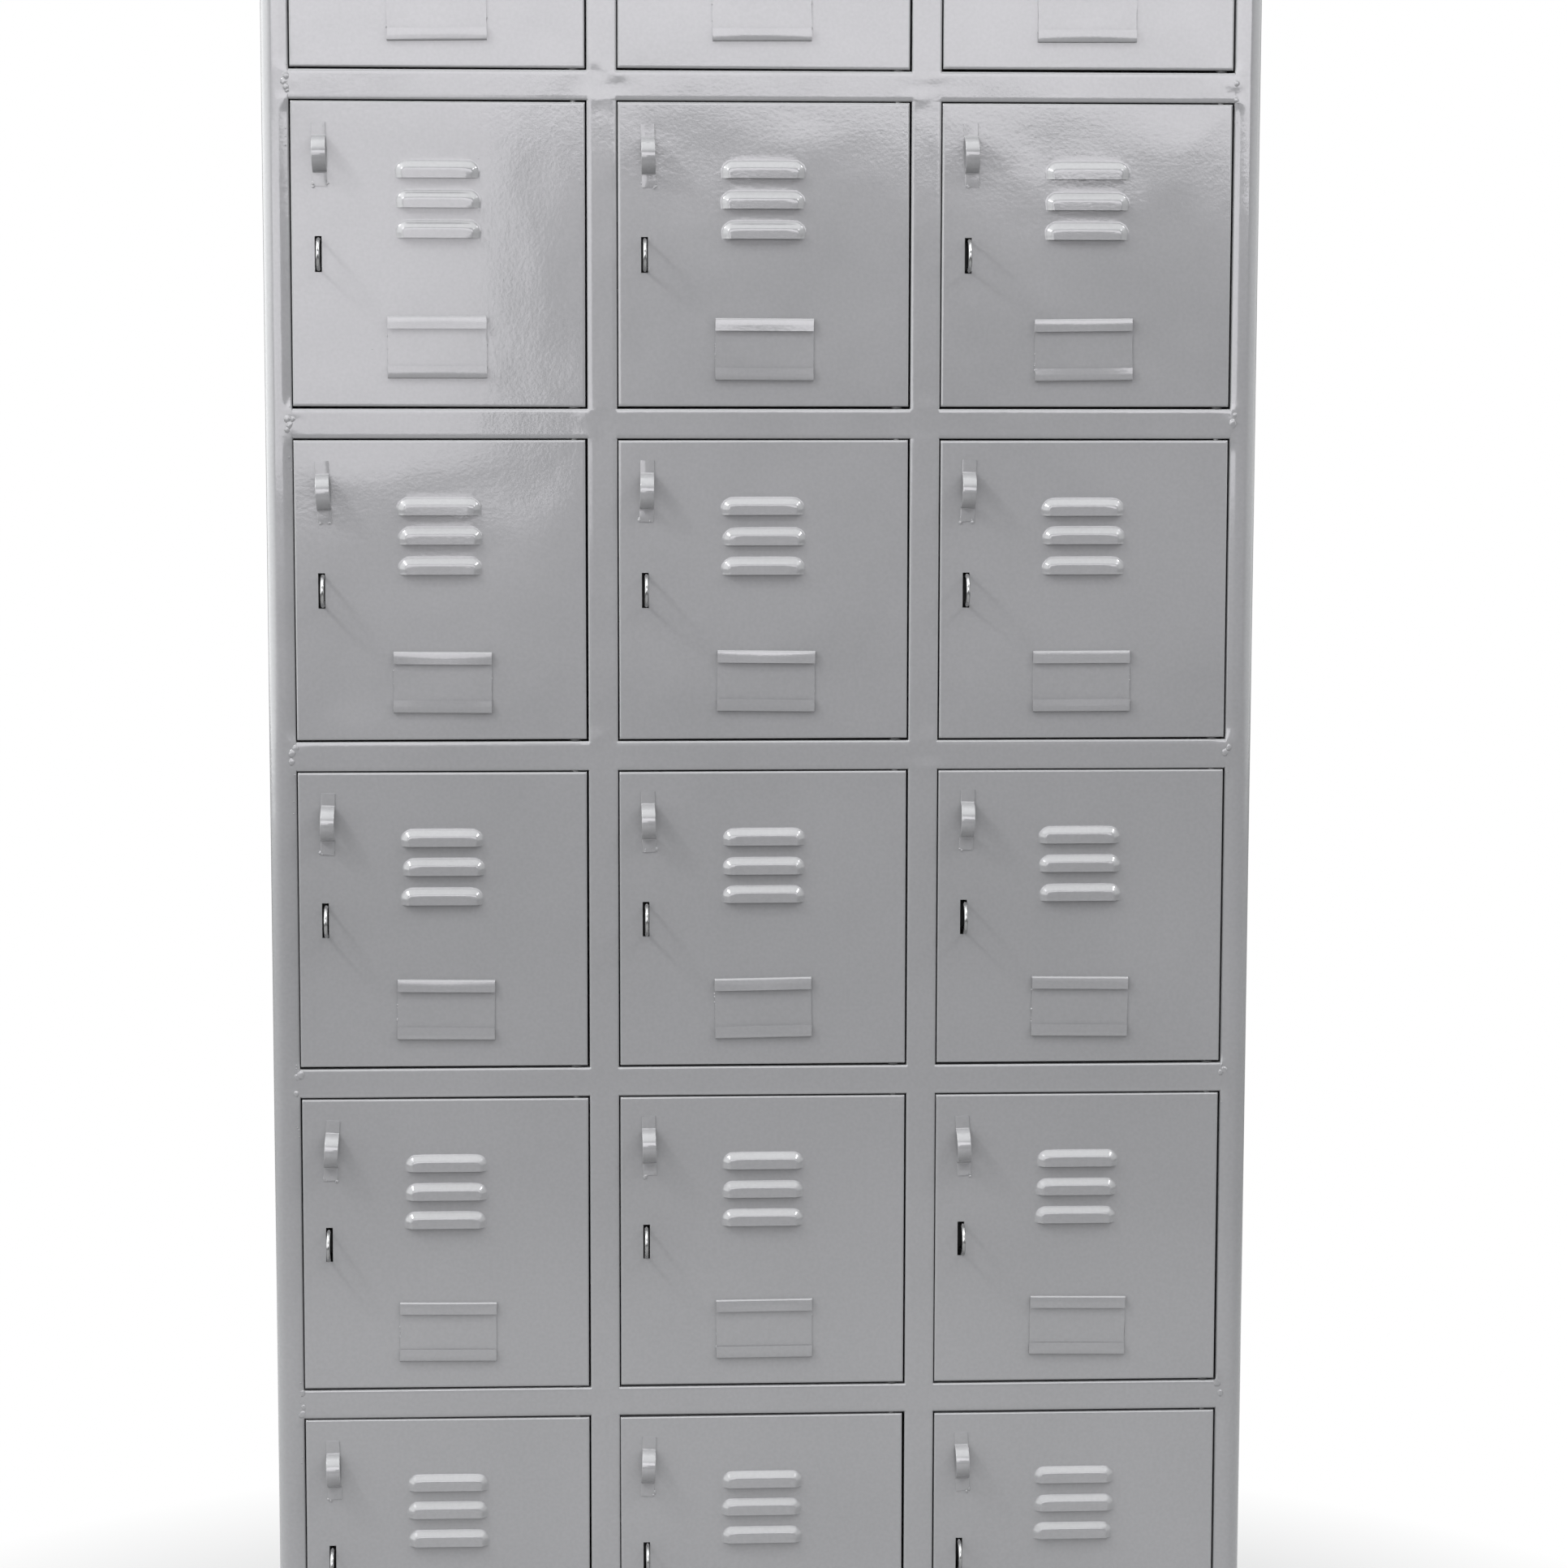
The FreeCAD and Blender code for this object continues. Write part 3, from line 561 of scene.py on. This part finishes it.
# ---- Doors ---------------------------------------------------------------------------------------
class Door:
    """Places of one door, and the draws that make it differ from its neighbours."""

    def __init__(self, row, column, draw):
        def spread(low, high):
            return draw.uniform(low, high) * MM

        def turned(degrees):
            return math.radians(draw.uniform(-degrees, degrees))

        x0, x1, z0, z1 = opening(row, column)
        self.x0, self.x1 = x0 + GAP_LEFT, x1 - GAP_RIGHT
        self.z0, self.z1 = z0 + GAP_BELOW, z1 - GAP_ABOVE
        self.tag = f"row{row}_{column}"
        self.draw = draw
        self.seed = draw.uniform(0.0, 90.0)
        self.turn = turned(0.12)
        self.shift = (spread(-0.4, 0.15), spread(-0.4, 0.4))
        self.pull_turn = turned(3.0)
        self.pull_shift = (spread(-1.2, 1.2), spread(-1.5, 1.5))
        self.card_turn = turned(0.8)
        self.card_shift = (spread(-2.0, 2.0), spread(-1.0, 1.0))
        self.louvres = [(spread(-1.0, 1.0), spread(-0.5, 0.5), draw.uniform(0.9, 1.08))
                        for _ in range(3)]

    def wave(self, x, z):
        """How far the sheet stands forward of flat at arrays of places."""
        to_side = np.minimum(x - self.x0, self.x1 - x)
        to_end = np.minimum(z - self.z0, self.z1 - z)
        to_edge = np.minimum(to_side, to_end)
        free = 0.25 + 0.75 * smooth(to_edge / (45.0 * MM))
        long_wave = 0.62 * MM * ripple(x, z, 135.0 * MM, self.seed)
        short_wave = 0.10 * MM * ripple(x, z, 42.0 * MM, self.seed + 31.0)
        return free * (long_wave + short_wave)

    def settle(self, obj):
        """Turns and shifts a finished piece with the slightly crooked door."""
        centre = Vector(((self.x0 + self.x1) / 2, FRONT, (self.z0 + self.z1) / 2))
        place = (Matrix.Translation(centre + Vector((self.shift[0], 0.0, self.shift[1])))
                 @ Matrix.Rotation(self.turn, 4, "Y") @ Matrix.Translation(-centre))
        obj.data.transform(place)
        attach(obj, f"door_{self.tag}")


def louvre_tops(door):
    """(middle x, top z, scale of its rise) of each louvre."""
    middle = (door.x0 + door.x1) / 2
    return [(middle + dx, door.z1 - LOUVRE_BELOW_TOP - k * LOUVRE_PITCH + dz, rise)
            for k, (dx, dz, rise) in enumerate(door.louvres)]


def bevel(t):
    """Straight slope from 0 to 1 with a bend at each end."""
    t = np.clip(t, 0.0, 1.0)
    b = LOUVRE_BEND
    start = t * t / (2 * b * (1 - b))
    end = 1.0 - (1.0 - t) ** 2 / (2 * b * (1 - b))
    return np.where(t < b, start, np.where(t > 1 - b, end, (t - b / 2) / (1 - b)))


def louvre_relief(x, z, middle, top, rise, upper):
    """Height of one pressed hood at arrays of places. It is open along its lower edge."""
    down = top - z
    tuck = LOUVRE_TUCK * smooth(down / LOUVRE_HEIGHT * 2.0 - 1.0)
    across = LOUVRE_LENGTH / 2 - np.abs(x - middle) - tuck
    corner = LOUVRE_CORNER - np.hypot(LOUVRE_CORNER - across, LOUVRE_CORNER - down)
    in_corner = (across < LOUVRE_CORNER) & (down < LOUVRE_CORNER)
    inside = np.where(in_corner, corner, np.minimum(across, down))
    lip = LOUVRE_HEIGHT
    covered = (inside > 0) & ((down < lip - 1e-6) | ((np.abs(down - lip) < 1e-6) & upper))
    share = np.clip(down / lip, 0.0, 1.0)
    height = rise * (LOUVRE_RISE + LOUVRE_TILT * share * (2.0 - share)) * bevel(inside / LOUVRE_SHOULDER)
    return np.where(covered, height, 0.0)


def door_columns(door, slot_x):
    """Places across a door for its grid, closer together at the hoods' ends and at the folds."""
    middle = (door.x0 + door.x1) / 2
    reach = LOUVRE_LENGTH / 2 + 1.5 * MM
    step = 0.8 * MM
    first, last = door.x0 + FOLD, door.x1 - FOLD
    marks = [first, first + 1.0 * MM, slot_x - SLOT_WIDTH / 2, slot_x + SLOT_WIDTH / 2]
    marks += [middle - reach + step * k for k in range(14)]
    marks += [middle + reach - step * k for k in range(13, -1, -1)]
    return place_lines(marks + [last - 1.0 * MM, last], SKIN_STEP)


def door_rows(door, louvres, slot_z):
    """Heights for a door's grid. A hood's lip has two rows at one height, which leave its slit open."""
    low, high = door.z0 + FOLD, door.z1 - FOLD
    step = 0.7 * MM
    zs = place_lines([low, low + 1.0 * MM, slot_z - SLOT_HEIGHT / 2], SKIN_STEP)
    for _, top, _ in reversed(louvres):
        bottom = top - LOUVRE_HEIGHT
        zs += place_lines([zs[-1], bottom], SKIN_STEP)[1:]
        zs += [bottom + (LOUVRE_HEIGHT - LOUVRE_SHOULDER) * k / 6 for k in range(6)]
        zs += [top - LOUVRE_SHOULDER + step * k for k in range(11)] + [top + step]
    zs += place_lines([zs[-1], high - 1.0 * MM, high], SKIN_STEP)[1:]
    return sorted(zs + [slot_z + SLOT_HEIGHT / 2])


def fold_rings():
    """Rings that carry a door's rim round its fold and back along the flange."""
    rings = []
    for k in range(1, 5):
        a = math.pi / 2 * k / 4
        rings.append((FOLD * math.sin(a), FRONT + FOLD * (1.0 - math.cos(a)), 1.0 - k / 4))
    return rings + [(FOLD, FRONT + PAN_DEPTH, 0.0)]


def door_skin(door):
    """Pressed sheet with folded edges, three hoods and the slot for the staple."""
    louvres = louvre_tops(door)
    slot_x = door.x0 + SLOT_FROM_EDGE
    slot_z = (door.z0 + door.z1) / 2

    def face_y(x, z, upper):
        relief = door.wave(x, z)
        for middle, top, rise in louvres:
            relief = relief + louvre_relief(x, z, middle, top, rise, upper)
        return FRONT - relief

    def in_slot(x, z):
        return abs(x - slot_x) < SLOT_WIDTH / 2 and abs(z - slot_z) < SLOT_HEIGHT / 2

    bm = bmesh.new()
    relief_sheet(bm, door_columns(door, slot_x), door_rows(door, louvres, slot_z), face_y,
                 fold_rings(), hole=in_slot)
    bmesh.ops.remove_doubles(bm, verts=bm.verts, dist=1e-6)
    obj = finish_object(f"pressed_door_{door.tag}", bm, DOOR_PAINT, sharp=60.0, thickness=SHEET)
    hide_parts(f"door_{door.tag}")
    door.settle(obj)


def lay_on_door(door, bm, x, z, turn):
    """Turns a fitting drawn about its own origin and lays it on the door's waves at a place."""
    bmesh.ops.transform(bm, matrix=Matrix.Rotation(turn, 4, "Y"), verts=bm.verts)
    xs = np.array([v.co.x + x for v in bm.verts])
    zs = np.array([v.co.z + z for v in bm.verts])
    for v, across, up, wave in zip(bm.verts, xs, zs, door.wave(xs, zs)):
        v.co = Vector((across, FRONT + v.co.y - wave, up))


def finish_fitting(door, name, bm, sharp):
    """Object for the pull or the card holder of a door, which share one node in the CAD."""
    obj = finish_object(f"{name}_{door.tag}", bm, DOOR_PAINT, sharp=sharp)
    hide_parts(f"pull_and_card_holder_{door.tag}")
    door.settle(obj)


def pull_path():
    """(along, out, slope, share of the thickness) down the strap: foot, bow, foot."""
    half = PULL_LENGTH / 2
    chord = PULL_BOW / 2 - PULL_THICK / 2
    lift = 0.15 * PULL_THICK
    rise = PULL_REACH - PULL_THICK / 2 - lift
    radius = (chord * chord + rise * rise) / (2 * rise)
    spread = math.asin(chord / radius)
    foot = [half, half - 0.5 * MM, half - 3.0 * MM, half - 6.0 * MM, chord + 2.2 * MM, chord + 1.4 * MM]
    heel = (chord + 0.6 * MM, lift + 0.15 * MM, 0.35, 0.8)
    path = [(along, lift, 0.0, PULL_FOOT) for along in foot] + [heel]
    for k in range(15):
        a = spread * (1.0 - 2.0 * k / 14)
        path.append((radius * math.sin(a), lift + rise - radius + radius * math.cos(a), a, 1.0))
    path.append((-heel[0], heel[1], -heel[2], heel[3]))
    for along in reversed(foot):
        path.append((-along, lift, 0.0, PULL_FOOT if along < half - 1.0 * MM else 0.3))
    return path


def pull(door):
    """Bowed flat strap, welded by its feet and painted over, with a rough lower end."""
    draw = door.draw
    section = rounded_section(PULL_WIDTH, PULL_THICK, 0.5 * MM)
    path = pull_path()
    bm = bmesh.new()
    loops = []
    ragged = draw.uniform(0.0, 50.0)
    for index, (along, out, slope, share) in enumerate(path):
        loop = []
        for across, through in section:
            z = along + share * through * math.sin(slope)
            y = out + share * through * math.cos(slope)
            if index >= len(path) - 2:
                z -= 1.6 * MM * noise.noise(Vector((across * 260.0, ragged, 0.0)))
            loop.append(Vector((across, -y, z)))
        loops.append(loop)
    sweep(bm, loops)
    for _ in range(4):
        side = draw.choice((-1, 1))
        where = Vector((side * PULL_WIDTH / 2 * draw.uniform(0.5, 1.05), -0.2 * MM,
                        draw.uniform(-1.2, 4.0) * MM - PULL_LENGTH / 2))
        size = draw.uniform(0.8, 1.7) * MM
        blob(bm, where, (size, 0.7 * MM, size * draw.uniform(0.7, 1.6)), draw.uniform(0, 40))
    lay_on_door(door, bm, door.x0 + PULL_FROM_EDGE + door.pull_shift[0],
                door.z1 - PULL_BELOW_TOP + door.pull_shift[1], door.pull_turn)
    finish_fitting(door, "strap_pull", bm, 38.0)


def card_profile():
    """(out, up, lip) along the middle of the folded sheet; lip is 0 at a fold and 1 at a free edge."""
    mid = CARD_SHEET / 2
    out = CARD_SHEET * 1.5 + CARD_SLOT
    r = (out - mid) / 2
    high, low = CARD_HEIGHT - mid, mid
    path = [(out, high - CARD_LIP, 1.0), (out, high - CARD_LIP * 0.55, 0.5),
            (out, high - r * 1.15, 0.06)]
    for k in range(1, 6):
        a = math.pi * k / 6
        path.append((mid + r + r * math.cos(a), high - r + r * math.sin(a), 0.0))
    path.append((mid, high - r * 1.2, 0.0))
    path += [(mid, low + (high - low) * k / 7, 0.0) for k in range(6, 0, -1)]
    path.append((mid, low + r * 1.2, 0.0))
    for k in range(5, 0, -1):
        a = math.pi * k / 6
        path.append((mid + r + r * math.cos(a), low + r - r * math.sin(a), 0.0))
    return path + [(out, low + r * 1.15, 0.06), (out, low + CARD_LIP * 0.55, 0.5),
                   (out, low + CARD_LIP, 1.0)]


def thicken(points, x):
    """Closed loop at x round a line of points, half the card holder's sheet to each side."""
    outer, inner = [], []
    at = Vector((x, 0.0, 0.0))
    for k, point in enumerate(points):
        ahead = points[min(k + 1, len(points) - 1)] - points[max(k - 1, 0)]
        normal = Vector((0.0, ahead.z, -ahead.y)).normalized() * CARD_SHEET / 2
        outer.append(point + normal + at)
        inner.append(point - normal + at)
    return outer + list(reversed(inner))


def card_holder(door):
    """Plate with two lips folded over it. The lips bow a little, as hand-folded ones do."""
    draw = door.draw
    path = card_profile()
    top_bow, low_bow = draw.uniform(-0.35, 0.45) * MM, draw.uniform(-0.35, 0.35) * MM
    top_lean, low_lean = draw.uniform(-0.1, 0.55) * MM, draw.uniform(-0.4, 0.1) * MM
    rough_side = draw.uniform(0.0, 60.0)
    loops = []
    for s in range(CARD_STATIONS):
        share = s / (CARD_STATIONS - 1)
        bend = math.cos(math.pi * (share - 0.5) * 1.1) - 0.35
        points = []
        for out, up, lip in path:
            upper = up > CARD_HEIGHT / 2
            bow, lean = (top_bow, top_lean) if upper else (low_bow, low_lean)
            points.append(Vector((0.0, -(out + lip * (lean + bow * bend)), up)))
        loop = thicken(points, (share - 0.5) * CARD_WIDTH)
        if s in (0, CARD_STATIONS - 1):
            for p in loop:
                p.x += 0.45 * MM * noise.noise(Vector((rough_side + s, p.z * 320.0, 0.0)))
        loops.append(loop)
    bm = bmesh.new()
    sweep(bm, loops)
    bmesh.ops.recalc_face_normals(bm, faces=bm.faces)
    for _ in range(5):
        side = draw.choice((-1.0, -1.0, 1.0))
        where = Vector((side * CARD_WIDTH / 2, -0.3 * MM, draw.uniform(0.14, 0.8) * CARD_HEIGHT))
        size = draw.uniform(0.4, 0.9) * MM
        blob(bm, where, (size, 0.7 * MM, size * draw.uniform(1.0, 2.4)), draw.uniform(0, 40))
    lay_on_door(door, bm, (door.x0 + door.x1) / 2 + door.card_shift[0],
                door.z1 - CARD_BELOW_TOP - CARD_HEIGHT + door.card_shift[1], door.card_turn)
    finish_fitting(door, "card_holder", bm, 50.0)


# ---- Staples -------------------------------------------------------------------------------------
def staple_path(back):
    """(y, z, angle) along the bar: in through the door, round a half circle and out again."""
    leg = STAPLE_HEIGHT / 2 - STAPLE_ROD / 2
    bend_y = FRONT - STAPLE_REACH + STAPLE_HEIGHT / 2
    middle = (back + bend_y) / 2
    path = [(back, leg, 0.0), (middle, leg, 0.0)]
    for k in range(21):
        a = math.pi * k / 20
        path.append((bend_y - leg * math.sin(a), leg * math.cos(a), a))
    return path + [(middle, -leg, math.pi), (back, -leg, math.pi)]


def staples(doors, draw):
    """Bent round bar that stands out through each door's slot and leans a little to one side."""
    bm = bmesh.new()
    radius = STAPLE_ROD / 2
    path = staple_path(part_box("padlock_staples")[1].y)
    for door in doors:
        offset = STAPLE_OFFSET + draw.uniform(-0.6, 0.6) * MM
        lean = math.tan(math.radians(draw.uniform(-2.0, 2.0)))
        centre = Vector((door.x0 + SLOT_FROM_EDGE + offset, 0.0, (door.z0 + door.z1) / 2))
        loops = []
        for y, z, a in path:
            loop = []
            for k in range(14):
                b = 2 * math.pi * k / 14
                side, out = radius * math.cos(b), radius * math.sin(b)
                x = side - lean * min(y - FRONT, 0.0) * 0.3
                loop.append(centre + Vector((x, y - out * math.sin(a), z + out * math.cos(a))))
            loops.append(loop)
        sweep(bm, loops)
    bmesh.ops.recalc_face_normals(bm, faces=bm.faces)
    obj = finish_object("bent_staples", bm, STEEL, sharp=40.0)
    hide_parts("padlock_staples")
    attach(obj, "cabinet")


# ---- Side and back sheets ------------------------------------------------------------------------
def wavy_panel(node, name, seed, depth):
    """Large flat sheet with the slight oil-can waves of thin steel."""
    low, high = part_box(node)
    size = high - low
    is_back = size.x > size.y
    width = size.x if is_back else size.y
    outward = 1.0 if (low.y + high.y if is_back else low.x + high.x) > 0 else -1.0
    if is_back:
        face = high.y
    else:
        face = high.x if outward > 0 else low.x
    us = place_lines([0.0, width], PANEL_STEP)
    vs = place_lines([low.z, high.z], PANEL_STEP)
    gu, gv = np.meshgrid(us, vs)
    to_edge = np.minimum(np.minimum(gu, width - gu), np.minimum(gv - low.z, high.z - gv))
    swell = ripple(gu, gv, 0.24, seed) + 0.3 * ripple(gu, gv, 0.09, seed + 9)
    wave = depth * smooth(to_edge / 0.05) * swell
    bm = bmesh.new()
    rows = []
    for v, waves in zip(vs, wave):
        row = []
        for u, rise in zip(us, waves):
            off = face + outward * rise
            place = (low.x + u, off, v) if is_back else (off, low.y + u, v)
            row.append(bm.verts.new(place))
        rows.append(row)
    flip = is_back == (outward > 0)
    for a, b in zip(rows, rows[1:]):
        for i in range(len(us) - 1):
            corners = (a[i], a[i + 1], b[i + 1], b[i])
            bm.faces.new(tuple(reversed(corners)) if flip else corners)
    obj = finish_object(name, bm, PANEL_PAINT, thickness=SHEET)
    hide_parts(node)
    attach(obj, "cabinet")


# ---- Stage ---------------------------------------------------------------------------------------
def area_light(name, place, target, size, power, roll=0.0, mirrored=True):
    """Lamp that the camera doesn't see, turned about its own axis by roll degrees.

    One that isn't mirrored only casts light and shadow, and leaves no reflection in the paint.
    """
    data = bpy.data.lights.new(name, "AREA")
    data.shape = "RECTANGLE"
    data.size, data.size_y = size
    data.energy = power
    data.color = WINDOW_TINT if mirrored else PLAIN_WHITE
    light = bpy.data.objects.new(name, data)
    light.location = place
    light.rotation_mode = "QUATERNION"
    aim = (Vector(target) - Vector(place)).to_track_quat("-Z", "Y")
    light.rotation_quaternion = aim @ Quaternion((0.0, 0.0, 1.0), math.radians(roll))
    light.visible_camera = False
    light.visible_glossy = mirrored
    bpy.context.scene.collection.objects.link(light)


def studio_world(overhead, level, left, right):
    """Light from all round with these strengths. The camera itself sees plain white."""
    world = bpy.data.worlds.new("studio")
    bpy.context.scene.world = world
    world.use_nodes = True
    n = ShaderTree(world.node_tree)
    n.tree.nodes.clear()
    direction = n.add("ShaderNodeSeparateXYZ")
    n.link(n.add("ShaderNodeTexCoord").outputs["Generated"], direction.inputs[0])
    x, z = direction.outputs["X"], direction.outputs["Z"]
    strength = n.math("ADD", n.remap(z, 0.35, 0.8, 0.0, overhead, "SMOOTHSTEP"), level)
    strength = n.math("ADD", strength, n.remap(x, -0.3, -1.0, 0.0, left, "SMOOTHSTEP"))
    strength = n.math("ADD", strength, n.remap(x, 0.3, 1.0, 0.0, right, "SMOOTHSTEP"))
    fill = n.add("ShaderNodeBackground")
    fill.inputs["Color"].default_value = (*FILL_TINT, 1.0)
    n.link(strength, fill.inputs["Strength"])
    seen = n.add("ShaderNodeBackground")
    seen.inputs["Color"].default_value = (*PLAIN_WHITE, 1.0)
    is_seen = n.add("ShaderNodeLightPath").outputs["Is Camera Ray"]
    surface = n.mix_shaders(is_seen, fill.outputs[0], seen.outputs[0])
    n.link(surface, n.add("ShaderNodeOutputWorld").inputs["Surface"])


def pale_floor():
    """Floor that is pale round the object and runs out into the white behind it. Painted shade darkens
    its colour from 2.3 to 3.3 m out, where the camera sees plain white.
    """
    bm = bmesh.new()
    bmesh.ops.create_grid(bm, x_segments=2, y_segments=2, size=9.0)
    n = Nodes("floor")
    length = n.add("ShaderNodeVectorMath", operation="LENGTH")
    n.link(n.place, length.inputs[0])
    away = length.outputs["Value"]
    mottle = n.remap(n.noise(3.0, 2.0), 0.0, 1.0, -0.1, 0.1)
    # painted shade: the floor's colour darkens from 2.3 to 3.3 m out, a fall-off of light painted in
    painted_shade_far = n.math("ADD", mottle, n.remap(away, 2.3, 3.3, 0.0, 1.0))
    n.colour(n.mix(painted_shade_far, FLOOR_NEAR, FLOOR_PAINTED_SHADE))
    n.set(Roughness=0.6)
    obj = finish_object("floor", bm, n.material)
    is_seen = n.add("ShaderNodeLightPath").outputs["Is Camera Ray"]
    white_out = n.math("MULTIPLY", n.remap(away, 0.6, 1.25, 0.0, 1.0), is_seen)
    glow = n.add("ShaderNodeEmission")
    glow.inputs["Strength"].default_value = 1.0
    surface = n.mix_shaders(white_out, n.shader.outputs[0], glow.outputs[0])
    n.link(surface, n.tree.nodes["Material Output"].inputs["Surface"])


def camera():
    """Eye height, a little left of the middle, looking slightly right and down."""
    data = bpy.data.cameras.new("camera")
    data.sensor_width = 36.0
    data.lens = CAMERA_LENS
    cam = bpy.data.objects.new("camera", data)
    yaw, pitch, roll = (math.radians(a) for a in CAMERA_TURN)
    look = Matrix.Rotation(yaw, 4, "Z") @ Matrix.Rotation(pitch, 4, "X") @ Matrix.Rotation(roll, 4, "Y")
    cam.matrix_world = (Matrix.Translation(CAMERA_PLACE) @ look
                        @ Matrix.Rotation(math.pi / 2, 4, "X"))
    bpy.context.scene.collection.objects.link(cam)
    bpy.context.scene.camera = cam


# ---- Assembly ------------------------------------------------------------------------------------
def dress_cad_nodes():
    """Materials for the nodes that keep their CAD shape."""
    paints = {"rear_post_left": FRAME_PAINT, "rear_post_right": FRAME_PAINT,
              "side_rails_left": FRAME_PAINT, "side_rails_right": FRAME_PAINT, "rear_rails": FRAME_PAINT,
              "roof_panel": PANEL_PAINT, "bottom_panel": PANEL_PAINT, "shelves": PANEL_PAINT,
              "partition_left": PANEL_PAINT, "partition_right": PANEL_PAINT,
              # strike plates and hinge pins get steel darkened as painted shade
              "strike_plates": PLATE_IN_PAINTED_SHADE, "hinge_pins": PIN_STEEL_IN_PAINTED_SHADE, "hinge_washers": NYLON,
              "panel_rivets": RIVET_METAL, "foot_caps": CAP_PLASTIC}
    for node, material in paints.items():
        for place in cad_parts[node].material_slots:
            place.material = material


def build():
    """All pieces. Those with random draws come in a fixed order, which settles what each one gets."""
    dress_cad_nodes()
    for obj, node in ((front_rails(), "front_rails"), (front_mullions(), "front_mullions"),
                      (front_post("left"), "front_post_left"),
                      (front_post("right"), "front_post_right")):
        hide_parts(node)
        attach(obj, "cabinet")
    draw = random.Random(41)
    beads = weld_spatter(draw)
    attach(beads, "cabinet")
    doors = [Door(row, column, draw) for row in ROWS for column in COLUMNS]
    for door in doors:
        door_skin(door)
        pull(door)
        card_holder(door)
    staples(doors, draw)
    wavy_panel("side_panel_left", "side_sheet_left", 2.0, 0.8 * MM)
    wavy_panel("side_panel_right", "side_sheet_right", 12.0, 0.8 * MM)
    wavy_panel("back_panel", "back_sheet", 22.0, 0.9 * MM)


def light_and_view():
    """World, floor, lamps and camera."""
    scene = bpy.context.scene
    scene.view_settings.view_transform = "Standard"
    scene.view_settings.look = "None"
    studio_world(overhead=2.4, level=0.1, left=2.7, right=1.2)
    pale_floor()
    area_light("high window", (0.0, -5.3, 2.66), (0.0, 0.0, 2.05), (5.6, 1.6), 102.0, roll=-4.0)
    area_light("left window", (-1.73, -5.2, 1.47), (-1.2, 0.0, 1.47), (2.94, 0.8), 21.0)
    area_light("low window", (0.0, -5.3, 0.9), (0.0, 0.0, 0.9), (6.0, 0.45), 3.0)
    area_light("left lamp", (-2.2, -1.5, 3.2), (0.0, -0.2, 1.2), (0.6, 0.5), 20.0)
    area_light("right lamp", (2.2, -1.5, 3.3), (0.0, -0.2, 1.2), (0.5, 0.4), 11.0)
    area_light("left shadow lamp", (-2.3, -1.0, 3.4), (0.0, -0.2, 1.2), (0.3, 0.3), 40.0, mirrored=False)
    area_light("right shadow lamp", (2.3, -1.1, 3.4), (0.0, -0.2, 1.2), (0.3, 0.3), 18.0, mirrored=False)
    camera()


build()
light_and_view()
